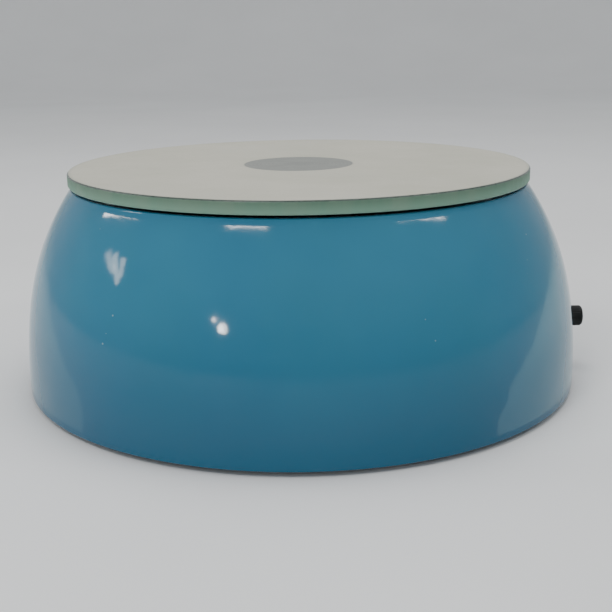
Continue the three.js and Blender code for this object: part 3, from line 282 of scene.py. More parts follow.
def rectangle(half_u, half_v, radius, centre=(0, 0), steps=5):
    """A rectangle's outline with round corners, anticlockwise."""
    cu, cv = centre
    corners = [(cu + half_u, cv - half_v), (cu + half_u, cv + half_v), (cu - half_u, cv + half_v),
               (cu - half_u, cv - half_v)]
    return rounded(corners, radius, steps, closed=True)


def circle(radius, steps, centre=(0, 0)):
    return [(centre[0] + radius * math.cos(2 * math.pi * i / steps),
             centre[1] + radius * math.sin(2 * math.pi * i / steps)) for i in range(steps)]


def cut(obj, *cutters):
    """Takes the cutters away from the object and deletes them."""
    for cutter in cutters:
        modifier = obj.modifiers.new("cut", "BOOLEAN")
        modifier.operation = "DIFFERENCE"
        modifier.solver = "EXACT"
        modifier.object = cutter
    return settle(obj, cutters)


def join_to(obj, *others):
    """Joins other closed objects to the object and deletes them."""
    for other in others:
        modifier = obj.modifiers.new("join", "BOOLEAN")
        modifier.operation = "UNION"
        modifier.solver = "EXACT"
        modifier.object = other
    return settle(obj, others)


def settle(obj, used=()):
    """Applies the object's modifiers, then deletes the objects that they used."""
    graph = bpy.context.evaluated_depsgraph_get()
    mesh = bpy.data.meshes.new_from_object(obj.evaluated_get(graph))
    mesh.name = obj.name
    obj.modifiers.clear()
    obj.data = mesh
    for other in used:
        bpy.data.objects.remove(other, do_unlink=True)
    return obj


# ---------------------------------------------------------------- material helpers

class Nodes:
    """A material's node tree around one Principled shader, in short calls."""

    def __init__(self, name, **sockets):
        self.material = bpy.data.materials.new(name)
        self.material.use_nodes = True
        self.tree = self.material.node_tree
        self.shader = self.tree.nodes["Principled BSDF"]
        for socket, value in sockets.items():
            self.shader.inputs[socket.replace("_", " ")].default_value = value
        self.place = self.node("ShaderNodeTexCoord").outputs["Object"]

    def node(self, kind, **values):
        made = self.tree.nodes.new(kind)
        for key, value in values.items():
            setattr(made, key, value)
        return made

    def link(self, source, target):
        self.tree.links.new(source, target)
        return target

    def noise(self, scale, detail=4.0, rough=0.5, stretch=(1, 1, 1), distortion=0.0):
        vector = self.place
        if tuple(stretch) != (1, 1, 1):
            mapping = self.node("ShaderNodeMapping")
            mapping.inputs["Scale"].default_value = stretch
            self.link(vector, mapping.inputs["Vector"])
            vector = mapping.outputs["Vector"]
        made = self.node("ShaderNodeTexNoise")
        made.inputs["Scale"].default_value = scale
        made.inputs["Detail"].default_value = detail
        made.inputs["Roughness"].default_value = rough
        made.inputs["Distortion"].default_value = distortion
        self.link(vector, made.inputs["Vector"])
        return made.outputs["Fac"]

    def cells(self, scale):
        made = self.node("ShaderNodeTexVoronoi", feature="F1")
        made.inputs["Scale"].default_value = scale
        self.link(self.place, made.inputs["Vector"])
        return made.outputs["Distance"]

    def axis(self, which):
        split = self.node("ShaderNodeSeparateXYZ")
        self.link(self.place, split.inputs[0])
        return split.outputs[which]

    def math(self, operation, a, b=0.0):
        made = self.node("ShaderNodeMath", operation=operation)
        for socket, value in zip(made.inputs, (a, b)):
            if isinstance(value, (int, float)):
                socket.default_value = value
            else:
                self.link(value, socket)
        return made.outputs[0]

    def radius(self):
        """The distance from the object's own Z axis."""
        x, y = self.axis("X"), self.axis("Y")
        return self.math("SQRT", self.math("ADD", self.math("MULTIPLY", x, x), self.math("MULTIPLY", y, y)))

    def span(self, value, low, high, to_low=0.0, to_high=1.0, smooth_ends=False):
        made = self.node("ShaderNodeMapRange", interpolation_type="SMOOTHSTEP" if smooth_ends else "LINEAR")
        for name, number in (("From Min", low), ("From Max", high), ("To Min", to_low), ("To Max", to_high)):
            made.inputs[name].default_value = number
        self.link(value, made.inputs["Value"])
        return made.outputs["Result"]

    def mix(self, factor, a, b):
        """A colour between a and b, each a colour or a socket."""
        made = self.node("ShaderNodeMix", data_type="RGBA")
        for socket, value in ((made.inputs[0], factor), (made.inputs[6], a), (made.inputs[7], b)):
            if isinstance(value, (tuple, list)):
                socket.default_value = (*value[:3], 1.0)
            elif isinstance(value, (int, float)):
                socket.default_value = value
            else:
                self.link(value, socket)
        return made.outputs[2]

    def colour(self, source):
        self.link(source, self.shader.inputs["Base Color"])

    def roughness(self, source):
        self.link(source, self.shader.inputs["Roughness"])

    def bump(self, height, distance, strength=1.0, under=None):
        made = self.node("ShaderNodeBump")
        made.inputs["Strength"].default_value = strength
        made.inputs["Distance"].default_value = distance
        self.link(height, made.inputs["Height"])
        if under is not None:
            self.link(under, made.inputs["Normal"])
        self.link(made.outputs["Normal"], self.shader.inputs["Normal"])
        return made.outputs["Normal"]


def linear(red, green, blue):
    """A screen colour from 0 to 255 as linear light."""
    out = []
    for value in (red, green, blue):
        c = value / 255
        out.append(c / 12.92 if c <= 0.04045 else ((c + 0.055) / 1.055) ** 2.4)
    return tuple(out)


# ---------------------------------------------------------------- materials

def gelcoat():
    """Glossy turquoise gelcoat: faint cloudiness, faint upright streaks of painted reflection, fine orange
    peel, painted shade that darkens it towards the bottom, and a few pale specks of dried slip.
    """
    m = Nodes("blue_gelcoat", Metallic=0.0, IOR=1.32)
    cloud = m.span(m.noise(9, 3, 0.55), 0.3, 0.7)
    base = m.mix(cloud, linear(47, 112, 141), linear(55, 121, 149))
    # Painted reflection: faint upright streaks of a greener tone stand in for the room mirrored in the gloss.
    painted_reflection_streaks = m.span(m.noise(15, 4, 0.6, (1, 1, 0.22), 0.6), 0.42, 0.72)
    base = m.mix(m.math("MULTIPLY", painted_reflection_streaks, 0.3), base, linear(54, 119, 136))
    # Painted shade: the colour darkens towards the bottom of the housing.
    painted_shade_low = m.span(m.axis("Z"), 0.0, 0.09, 1.0, 0.0, True)
    shade = m.mix(m.math("MULTIPLY", painted_shade_low, 0.8), base, linear(36, 86, 114))
    specks = m.span(m.cells(85), 0.035, 0.055, 1.0, 0.0)
    sparse = m.span(m.noise(24, 2, 0.5), 0.60, 0.66)
    dust = m.math("MULTIPLY", specks, sparse)
    m.colour(m.mix(m.math("MULTIPLY", dust, 0.55), shade, linear(176, 196, 196)))
    worn = m.span(m.noise(38, 5, 0.6), 0.25, 0.8, 0.05, 0.12)
    m.roughness(m.math("ADD", worn, m.math("MULTIPLY", dust, 0.4)))
    ripple = m.bump(m.noise(16, 2, 0.4), 0.0009, 0.5)
    m.bump(m.noise(420, 2, 0.5), 0.00004, 0.5, ripple)
    return m.material


def frosted_face():
    """The disc's matte face: warm light grey, with the metal hub showing darker and round beneath."""
    m = Nodes("frosted_glass_face", IOR=1.45)
    r = m.radius()
    cloud = m.span(m.noise(13, 5, 0.6), 0.3, 0.72)
    face = m.mix(cloud, linear(188, 186, 169), linear(200, 196, 182))
    wipe = m.span(m.noise(5, 3, 0.6, (1, 1, 1), 1.6), 0.48, 0.62)
    face = m.mix(m.math("MULTIPLY", wipe, 0.18), face, linear(196, 195, 186))
    hub = m.span(r, HUB_RADIUS - HUB_BLUR, HUB_RADIUS + HUB_BLUR, 1.0, 0.0, True)
    rings = m.math("SINE", m.math("MULTIPLY", r, 2 * math.pi / HUB_RING_PITCH))
    hub_colour = m.mix(m.span(rings, -1, 1, 0.0, 1.0), linear(124, 127, 124), linear(134, 135, 131))
    middle = m.span(r, *SPINDLE_SPOT, 1.0, 0.0, True)
    hub_colour = m.mix(m.math("MULTIPLY", middle, 0.3), hub_colour, linear(112, 116, 114))
    face = m.mix(m.math("MULTIPLY", hub, 0.92), face, hub_colour)
    halo = m.math("MULTIPLY", m.span(r, HUB_RADIUS, HUB_RADIUS + 3 * MM, 1.0, 0.0), 0.12)
    face = m.mix(halo, face, linear(150, 153, 148))
    edge = m.span(r, DISC_RADIUS - 3.2 * MM, DISC_RADIUS - 0.6 * MM, 0.0, 0.35)
    m.colour(m.mix(edge, face, linear(120, 132, 124)))
    m.roughness(m.span(m.noise(60, 4, 0.6), 0.3, 0.7, 0.46, 0.6))
    turned_marks = m.math("SINE", m.math("MULTIPLY", r, 2 * math.pi / FACE_MARK_PITCH))
    fine = m.bump(m.noise(1500, 2, 0.6), 0.00003, 0.5)
    m.bump(turned_marks, 0.000004, 0.35, fine)
    return m.material


def glass_edge():
    """The disc's ground green edge, with painted shade that darkens it towards its top."""
    m = Nodes("glass_edge", IOR=1.4)
    # Painted shade: the edge is paler towards its foot and darker towards its top.
    up = m.span(m.axis("Z"), DISC_LOW.z, DISC_HIGH.z)
    depth = m.mix(m.span(up, 0.05, 0.95, 0.0, 1.0, True), linear(110, 149, 129), linear(85, 117, 98))
    streak = m.span(m.noise(70, 4, 0.6, (1, 1, 0.15)), 0.35, 0.7)
    m.colour(m.mix(m.math("MULTIPLY", streak, 0.35), depth, linear(128, 142, 124)))
    m.roughness(m.span(m.noise(160, 3, 0.6), 0.3, 0.7, 0.5, 0.65))
    m.bump(m.noise(900, 2, 0.6), 0.00003, 0.4)
    return m.material


def glass_arris(name, colour):
    """The small polished bevels along the disc's edge, each in a colour of painted light: dark as painted
    shade on the upper bevel, pale as a painted highlight on the lower one.
    """
    m = Nodes(name, IOR=1.5, Coat_Weight=0.4, Coat_Roughness=0.1)
    grain = m.span(m.noise(220, 4, 0.6), 0.3, 0.7)
    m.colour(m.mix(grain, colour, tuple(c * 1.25 for c in colour)))
    m.roughness(m.span(m.noise(300, 2, 0.5), 0.3, 0.7, 0.22, 0.36))
    return m.material


def plastic(name, colour, paler, rough=0.42, grain=700, depth=0.00004):
    """Moulded plastic with a fine spark-eroded grain."""
    m = Nodes(name, IOR=1.32)
    m.colour(m.mix(m.span(m.noise(45, 4, 0.6), 0.3, 0.75), colour, paler))
    m.roughness(m.span(m.noise(180, 3, 0.6), 0.3, 0.7, rough - 0.06, rough + 0.08))
    m.bump(m.noise(grain, 2, 0.6), depth, 0.5)
    return m.material


def rubber(name, colour, paler):
    """Matte rubber with dust in its pores."""
    m = Nodes(name, IOR=1.4)
    dust = m.span(m.noise(120, 5, 0.65), 0.45, 0.8)
    m.colour(m.mix(m.math("MULTIPLY", dust, 0.5), colour, paler))
    m.roughness(m.span(m.noise(90, 3, 0.6), 0.3, 0.7, 0.72, 0.9))
    m.bump(m.noise(1100, 3, 0.6), 0.00005, 0.6)
    return m.material


def metal(name, colour, darker, rough, stretch=(1, 1, 12), grain=260, depth=0.00001):
    """Turned or plated metal with faint tool marks and a little tarnish."""
    m = Nodes(name, Metallic=1.0)
    m.colour(m.mix(m.span(m.noise(30, 5, 0.6), 0.3, 0.75), colour, darker))
    m.roughness(m.span(m.noise(grain, 3, 0.6, stretch), 0.3, 0.7, rough - 0.05, rough + 0.1))
    m.bump(m.noise(grain, 3, 0.6, stretch), depth, 0.5)
    return m.material


def paint(name, colour, worn, rough=0.5):
    """Satin paint on sheet metal, with a fine powder-coat ripple."""
    m = Nodes(name, IOR=1.5)
    m.colour(m.mix(m.span(m.noise(22, 5, 0.6), 0.35, 0.8), colour, worn))
    m.roughness(m.span(m.noise(70, 4, 0.6), 0.3, 0.7, rough - 0.08, rough + 0.1))
    m.bump(m.noise(650, 3, 0.5), 0.00006, 0.6)
    return m.material


def laminate():
    """Green circuit board with lighter tracks."""
    m = Nodes("board_laminate", IOR=1.5)
    tracks = m.node("ShaderNodeTexBrick", offset=0.5)
    tracks.inputs["Scale"].default_value = 160
    tracks.inputs["Mortar Size"].default_value = 0.03
    tracks.inputs["Color1"].default_value = (*linear(38, 92, 56), 1)
    tracks.inputs["Color2"].default_value = (*linear(34, 84, 52), 1)
    tracks.inputs["Mortar"].default_value = (*linear(70, 132, 84), 1)
    m.link(m.place, tracks.inputs["Vector"])
    m.colour(tracks.outputs["Color"])
    m.roughness(m.span(m.noise(80, 3, 0.5), 0.3, 0.7, 0.32, 0.48))
    m.bump(tracks.outputs["Fac"], 0.00005, 0.4)
    return m.material


MATERIALS = {
    "blue_gelcoat": gelcoat(),
    "frosted_glass": frosted_face(),
    "glass_edge": glass_edge(),
    # The two bevels are one glass: the upper one is painted dark as painted shade, and the lower one is
    # painted pale as a painted highlight.
    "upper_arris_painted_shade": glass_arris("glass_upper_arris_painted_shade", linear(58, 72, 64)),
    "lower_arris_painted_highlight": glass_arris("glass_lower_arris_painted_highlight", linear(132, 160, 142)),
    "black_plastic": plastic("black_plastic", linear(7, 9, 9), linear(16, 18, 18)),
    "terminal_plastic": plastic("terminal_plastic", linear(78, 128, 94), linear(92, 142, 106)),
    "sleeving": plastic("sleeving", linear(52, 54, 58), linear(70, 72, 76), 0.55),
    "white_mark": plastic("white_mark", linear(214, 214, 208), linear(226, 226, 220), 0.5),
    "rubber": rubber("foot_rubber", linear(30, 30, 31), linear(74, 73, 70)),
    "belt_rubber": rubber("belt_rubber", linear(24, 24, 25), linear(52, 52, 52)),
    "bond": rubber("bond_film", linear(132, 134, 131), linear(150, 151, 147)),
    "cast_aluminium": metal("cast_aluminium", (0.66, 0.67, 0.68), (0.54, 0.55, 0.56), 0.38, (1, 1, 1), 180,
                            0.00003),
    "steel": metal("bright_steel", (0.68, 0.69, 0.70), (0.57, 0.57, 0.58), 0.24),
    "bearing_steel": metal("bearing_steel", (0.74, 0.75, 0.76), (0.66, 0.67, 0.68), 0.14),
    "zinc": metal("zinc_plate", (0.60, 0.61, 0.62), (0.50, 0.51, 0.50), 0.30, (1, 1, 1), 420),
    "base_paint": paint("base_paint", linear(44, 47, 49), linear(60, 62, 63)),
    "motor_paint": paint("motor_paint", linear(52, 56, 59), linear(66, 69, 71), 0.4),
    "board_laminate": laminate(),
}


# ---------------------------------------------------------------- wheelhead

def wheelhead():
    """The glass disc, with a ground edge and two small polished bevels."""
    r, low, high = DISC_RADIUS, DISC_LOW.z, DISC_HIGH.z
    top_bevel, foot_bevel = 0.9 * MM, 0.5 * MM
    profile = [(0, low), (HUB_RADIUS, low), (r - foot_bevel, low)]
    profile += [(r - 0.1 * MM, low + foot_bevel - 0.1 * MM), (r, low + foot_bevel + 0.1 * MM)]
    profile += [(r, (low + high) / 2), (r, high - top_bevel - 0.1 * MM)]
    profile += [(r - 0.08 * MM, high - top_bevel + 0.05 * MM)]
    profile += [(r - top_bevel + 0.05 * MM, high - 0.08 * MM), (r - top_bevel - 0.15 * MM, high)]
    profile += [(radius, high) for radius in (r * 0.85, r * 0.6, HUB_RADIUS, HUB_RADIUS / 2, 0)]

    def which(radius, height, upright):
        if upright:
            return 1
        if radius > r - top_bevel:
            return 2 if height > (low + high) / 2 else 3
        return 0

    slots = [MATERIALS[k] for k in ("frosted_glass", "glass_edge", "upper_arris_painted_shade", "lower_arris_painted_highlight")]
    obj = smooth(turned("wheelhead_glass", profile, slots, slot_of=which), 20)
    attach(obj, "wheel")
    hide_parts("wheelhead_disc")


# ---------------------------------------------------------------- housing

def bezier(a, b, c, d, t):
    """The point at t on a cubic curve."""
    s = 1 - t
    return a * s ** 3 + b * 3 * s * s * t + c * 3 * s * t * t + d * t ** 3


def wall_line(depth, steps=40):
    """Points (radius, height) up the wall, a depth inside its outer surface."""
    top = RIM_Z - RIM_ROUND
    ends = [Vector((WIDEST, SKIRT_TOP)), Vector((WIDEST, SKIRT_TOP + SKIRT_PULL)),
            Vector((RIM_RADIUS + SHOULDER_PULL * math.sin(SHOULDER_LEAN),
                    top - SHOULDER_PULL * math.cos(SHOULDER_LEAN))), Vector((RIM_RADIUS, top))]
    out = []
    for i in range(steps + 1):
        t = i / steps
        here = bezier(*ends, t)
        ahead = bezier(*ends, min(1, t + 1e-3)) - bezier(*ends, max(0, t - 1e-3))
        ahead.normalize()
        out.append((here.x - ahead.y * depth, here.y + ahead.x * depth))
    return out


def shell_profile():
    """The shell's whole section, anticlockwise, with every edge rounded."""
    tray = RIM_RADIUS - RIM_WIDTH
    pocket = RIM_Z - RIM_ROUND - 2 * WALL
    collar = COLLAR_BORE + WALL
    outside = [(WIDEST - WALL, SKIRT_Z, 0.5 * MM), (WIDEST, SKIRT_Z, 1.1 * MM)]
    outside += [(WIDEST, SKIRT_TOP - 1 * MM, 0)]
    top = [(tray, RIM_Z, 1.4 * MM), (tray, TRAY_Z, 4 * MM), (collar, TRAY_Z, 3 * MM)]
    top += [(collar, TRAY_Z + COLLAR_HEIGHT, 1 * MM), (COLLAR_BORE, TRAY_Z + COLLAR_HEIGHT, 1 * MM)]
    under = [(COLLAR_BORE, DECK_Z, 0.5 * MM), (tray + WALL, DECK_Z, 2 * MM), (tray + WALL, pocket, 0)]
    inside = [(r, z, 0) for r, z in reversed(wall_line(WALL, 12)) if z < pocket - 2 * MM]
    wall = [(r, z, 0) for r, z in wall_line(0)[:-1]]
    rim = [(RIM_RADIUS - 0.25 * MM, RIM_Z - 0.45 * MM, 0), (RIM_RADIUS - 0.75 * MM, RIM_Z - 0.1 * MM, 0),
           (RIM_RADIUS - 1.4 * MM, RIM_Z, 0)]
    points = outside + wall + [(RIM_RADIUS, RIM_Z - RIM_ROUND, 0)] + rim + top + under + inside
    return rounded(points, 0, 5, closed=True)


def wall_radius(height, line):
    """The radius of the wall's outer surface at a height, from points up it."""
    for (r0, z0), (r1, z1) in zip(line, line[1:]):
        if z0 <= height <= z1:
            return r0 + (r1 - r0) * (height - z0) / (z1 - z0)
    return WIDEST


def on_circle(radius, angle):
    """The point (x, y) at an angle on a circle about the spindle."""
    return radius * math.cos(angle), radius * math.sin(angle)


def lug(angle):
    """A block inside the wall that takes one of the housing screws."""
    block = prism("lug", rectangle(*LUG_HALF, 2 * MM, (LUG_CIRCLE + LUG_OUTWARD, 0)), *LUG_Z)
    block.data.transform(Matrix.Rotation(angle, 4, "Z"))
    return block


def housing():
    """The moulded shell: its tray, its lugs, the recess at the back and the speed control's pad and hole."""
    gel = MATERIALS["blue_gelcoat"]
    shell = turned("housing_gelcoat_shell", shell_profile(), [gel], steps=288, closed=True)
    middle = (RECESS_Z[0] + RECESS_Z[1]) / 2
    half_height = (RECESS_Z[1] - RECESS_Z[0]) / 2
    outer = rectangle(RECESS_HALF + WALL, half_height + WALL, 4 * MM, (0, middle))
    backing = prism("backing", outer, RECESS_FLOOR - WALL, RECESS_FLOOR + 9 * MM, "Y", [gel])
    inside = [(0, SKIRT_TOP)] + wall_line(1 * MM)[:-6] + [(0, RIM_Z - 30 * MM)]
    keep = turned("keep", inside, [gel], steps=96)
    modifier = backing.modifiers.new("inside the wall", "BOOLEAN")
    modifier.operation = "INTERSECT"
    modifier.solver = "EXACT"
    modifier.object = keep
    settle(backing, [keep])
    join_to(shell, backing)
    knob_z = (KNOB_LOW.z + KNOB_HIGH.z) / 2
    pad_high = wall_radius(knob_z + PAD_HALF, wall_line(0)) - 1 * MM
    pad = prism("pad", rectangle(PAD_HALF, PAD_HALF, 2 * MM, (0, knob_z)), POT_FACE, pad_high, "X", [gel])
    join_to(shell, pad, *(lug(angle) for angle in CORNERS))
    opening = rectangle(RECESS_HALF, half_height, 3.5 * MM, (0, middle), 8)
    recess = prism("recess", opening, RECESS_FLOOR, WIDEST + 10 * MM, "Y", [gel])
    inlet_hole = prism("inlet_hole", rectangle(*INLET_HOLE_HALF, 0.5 * MM, (0, INLET_Z)),
                       RECESS_FLOOR - 2 * WALL, RECESS_FLOOR + OVER, "Y", [gel])
    pot_hole = prism("pot_hole", circle(POT_HOLE_RADIUS, 24, (0, knob_z)), WIDEST - 15 * MM, WIDEST + 5 * MM,
                     "X", [gel])
    pilots = [prism("pilot", circle(PILOT_RADIUS, 20, on_circle(LUG_CIRCLE, angle)), 0, PILOT_TOP)
              for angle in CORNERS]
    cut(shell, recess, inlet_hole, pot_hole, *pilots)
    smooth(shell, 30)
    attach(shell, "housing")
    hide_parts("housing_shell")


# ---------------------------------------------------------------- underside

def hex_recess(x, y, foot, radius, depth):
    """A cutter for a hexagon socket that opens downwards."""
    return prism("socket", circle(radius, 6, (x, y)), foot - OVER, foot + depth)


def screw(name, node):
    """A countersunk socket screw seen from below, in place of its CAD solid."""
    low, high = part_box(node)
    x, y = (low.x + high.x) / 2, (low.y + high.y) / 2
    head = (high.x - low.x) / 2
    shank = head / 2
    profile = rounded([(0, low.z), (head, low.z, 0.25 * MM), (shank, low.z + shank, 0.3 * MM),
                       (shank, high.z, 0.4 * MM), (0, high.z)], 0, 3)
    obj = turned(name, profile, [MATERIALS["zinc"]], steps=40, place=(x, y, 0))
    cut(obj, hex_recess(x, y, low.z, shank * 0.62, shank * 0.9))
    smooth(obj, 30)
    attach(obj, "housing")
    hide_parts(node)


def base_plate():
    """The pressed base plate with its grooved middle, vents, countersinks and foot holes."""
    steel = [MATERIALS["base_paint"]]
    r, top = BASE_HIGH.y, BASE_HIGH.z
    bed = [(61.2 * MM, GROOVE_DEPTH, 0.8 * MM), (63.8 * MM, GROOVE_DEPTH, 0.8 * MM)]
    groove = rounded([(GROOVE[0], 0)] + bed + [(GROOVE[1], 0)], 0, 4)
    profile = [(0, 0), (59 * MM, 0)] + groove + [(66 * MM, 0)]
    profile += rounded([(r - 3 * MM, 0), (r, 0, 0.7 * MM), (r, top, 0.7 * MM), (r - 3 * MM, top)], 0, 4)
    profile += [(GROOVE[0], top), (0, top)]
    plate = turned("base_plate_pressed", profile, steel, steps=192)
    cutters = []
    for i in range(VENTS):
        y = (i - VENTS // 2) * VENT_PITCH
        cutters.append(prism("vent", rectangle(*VENT_HALF, 1.95 * MM, (MOTOR_X, y), 8), -OVER, SINK_TOP))
    for i in range(4):
        low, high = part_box(f"foot_{i + 1}")
        centre = ((low.x + high.x) / 2, (low.y + high.y) / 2)
        cutters.append(prism("foot_hole", circle(FOOT_HOLE_RADIUS, 32, centre), -OVER, SINK_TOP))
    names = [f"spindle_housing_screw_{i}" for i in range(1, 5)] + [f"housing_screw_{i}" for i in range(1, 5)]
    for node in names + ["bracket_screw_1", "bracket_screw_2"]:
        low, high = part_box(node)
        head = (high.x - low.x) / 2
        mouth, bore, depth = head + 1 * MM, head / 2 + 0.3 * MM, head / 2 + 0.5 * MM
        place = ((low.x + high.x) / 2, (low.y + high.y) / 2, 0)
        sink = [(0, -OVER), (mouth, -OVER), (bore, depth), (bore, SINK_TOP), (0, SINK_TOP)]
        cutters.append(turned("sink", sink, steel, steps=32, place=place))
    cut(plate, *cutters)
    smooth(plate, 30)
    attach(plate, "housing")
    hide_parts("base_plate")


def foot(number):
    """A rubber foot with a ribbed sole and a neck that snaps through the plate."""
    low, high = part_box(f"foot_{number}")
    place = ((low.x + high.x) / 2, (low.y + high.y) / 2, 0)
    r, z = (high.y - low.y) / 2, low.z
    sole = [(0, z)]
    for ring in SOLE_RINGS:
        start = ring * MM
        sole += [(start, z), (start + SOLE_RIB / 2, z + SOLE_RIB)]
        sole += [(start + SOLE_RIB * 1.6, z + SOLE_RIB), (start + SOLE_RIB * 2, z)]
    body = rounded([(9.4 * MM, z), (r - 1.8 * MM, z, 0.6 * MM), (r, z + 1.5 * MM, 1 * MM),
                    (r, FOOT_SHOULDER, 0.8 * MM), (FOOT_NECK, FOOT_SHOULDER, 0.2 * MM),
                    (FOOT_NECK, FOOT_BARB_Z, 0.2 * MM), (FOOT_BARB, FOOT_BARB_Z, 0.4 * MM),
                    (3 * MM, high.z, 0.6 * MM), (0, high.z)], 0, 4)
    obj = turned(f"rubber_foot_{number}", sole + body, [MATERIALS["rubber"]], steps=72, place=place)
    smooth(obj, 35)
    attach(obj, "housing")
    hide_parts(f"foot_{number}")


# ---------------------------------------------------------------- speed knob

def speed_knob():
    """A turned black knob with a finely fluted grip, a hollow back and a white pointer line."""
    length = KNOB_HIGH.x - KNOB_LOW.x
    r = (KNOB_HIGH.z - KNOB_LOW.z) / 2
    z = (KNOB_LOW.z + KNOB_HIGH.z) / 2
    along = Matrix.Rotation(math.radians(90), 4, "Y")
    # Heights are along the knob's axis, from its back.
    hollow = [(0, length - KNOB_CAP), (KNOB_BORE, length - KNOB_CAP), (KNOB_BORE, KNOB_HOLLOW_DEPTH),
              (KNOB_HOLLOW, KNOB_HOLLOW_DEPTH)]
    skirt = [(KNOB_HOLLOW, 0), (r - 0.05 * MM, 0, 0.35 * MM), (r - 0.1 * MM, 1.6 * MM, 0.2 * MM)]
    skirt = rounded(skirt, 0, 3)
    flute_low, flute_high = 1.9 * MM, length - 1.6 * MM
    grip = [(r - 0.2 * MM, flute_low), (r - 0.2 * MM, flute_low + 0.5 * MM)]
    grip += [(r - 0.25 * MM, flute_high - 0.5 * MM), (r - 0.25 * MM, flute_high)]
    face = rounded([(r - 0.25 * MM, length - 1.2 * MM), (r - 1.1 * MM, length, 1.1 * MM),
                    (5.2 * MM, length, 0.2 * MM), (4.9 * MM, length - 0.3 * MM, 0.2 * MM),
                    (0, length - 0.3 * MM)], 0, 4)
    obj = turned("speed_knob_fluted", hollow + skirt + grip + face, [MATERIALS["black_plastic"]],
                 steps=KNOB_FLUTES * STEPS_PER_FLUTE)
    for vertex in obj.data.vertices:
        radius = math.hypot(vertex.co.x, vertex.co.y)
        height = vertex.co.z
        if radius < r - 0.5 * MM or not flute_low + 0.2 * MM < height < flute_high - 0.2 * MM:
            continue
        turn = math.atan2(vertex.co.y, vertex.co.x) * KNOB_FLUTES
        depth = FLUTE_DEPTH * (0.5 - 0.5 * math.cos(turn))
        scale = (radius - depth) / radius
        vertex.co.x *= scale
        vertex.co.y *= scale
    obj.data.transform(Matrix.Translation((KNOB_LOW.x, 0, z)) @ along)
    smooth(obj, 40)
    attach(obj, "knob")
    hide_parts("speed_knob")
    low_z, high_z = z + 1.4 * MM, z + 4.6 * MM
    line = rectangle(0.35 * MM, (high_z - low_z) / 2, 0.3 * MM, (0, (low_z + high_z) / 2))
    pointer = prism("knob_pointer_line", line, KNOB_HIGH.x - 0.35 * MM, KNOB_HIGH.x - 0.12 * MM, "X",
                    [MATERIALS["white_mark"]], 0.04 * MM, 1)
    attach(pointer, "knob")


# ---------------------------------------------------------------- power inlet and rocker

def socket_outline(half_x, half_z, centre, corner):
    """The mains socket's mouth: square above, with its two lower corners cut off."""
    cx, cz = centre
    points = [(cx + half_x, cz + half_z, 0.8 * MM), (cx - half_x, cz + half_z, 0.8 * MM),
              (cx - half_x, cz - half_z + corner, 0.8 * MM), (cx - half_x + corner, cz - half_z, 0.8 * MM),
              (cx + half_x - corner, cz - half_z, 0.8 * MM), (cx + half_x, cz - half_z + corner, 0.8 * MM)]
    return rounded(points, 0, 4, closed=True)


def inlet():
    """The inlet's moulded body and flange, with its socket, contacts and the rocker's well."""
    black = [MATERIALS["black_plastic"]]
    half_x, half_z = (INLET_HIGH.x - INLET_LOW.x) / 2, (INLET_HIGH.z - INLET_LOW.z) / 2
    flange_foot = RECESS_FLOOR + 0.3 * MM
    flange = prism("power_inlet_moulding", rectangle(half_x, half_z, 2.2 * MM, (0, INLET_Z), 6),
                   flange_foot, INLET_FACE, "Y", black, 0.45 * MM)
    body = prism("body", rectangle(*INLET_BODY_HALF, 0.6 * MM, (0, INLET_Z)), INLET_LOW.y, flange_foot + OVER,
                 "Y", black)
    join_to(flange, body)
    well_mouth = rectangle(ROCKER_HALF[0] + 0.3 * MM, ROCKER_HALF[1] + 1.3 * MM, 0.6 * MM,
                           (ROCKER_X, INLET_Z))
    well = prism("well", well_mouth, ROCKER_PIVOT - 6.5 * MM, INLET_FACE + OVER, "Y", black)
    mouth = socket_outline(SOCKET_HALF[0], SOCKET_HALF[1], (SOCKET_X, INLET_Z), 3.4 * MM)
    socket = prism("socket", mouth, INLET_FACE - SOCKET_DEPTH, INLET_FACE + OVER, "Y", black)
    lip_mouth = socket_outline(SOCKET_HALF[0] + SOCKET_LIP, SOCKET_HALF[1] + SOCKET_LIP, (SOCKET_X, INLET_Z),
                               3.6 * MM)
    lip = prism("lip", lip_mouth, INLET_FACE - SOCKET_LIP, INLET_FACE + OVER, "Y", black)
    cut(flange, well, socket, lip)
    smooth(flange, 30)
    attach(flange, "housing")
    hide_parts("power_inlet")
    socket_floor = INLET_FACE - SOCKET_DEPTH
    for i, (x, z) in enumerate(CONTACTS):
        blade = rectangle(*CONTACT_HALF, 0.4 * MM, (SOCKET_X + x, INLET_Z + z))
        pin = prism(f"inlet_contact_{i + 1}", blade, socket_floor - OVER, socket_floor + CONTACT_LENGTH, "Y",
                    [MATERIALS["steel"]], 0.3 * MM, 2)
        smooth(pin, 40)
        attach(pin, "housing")


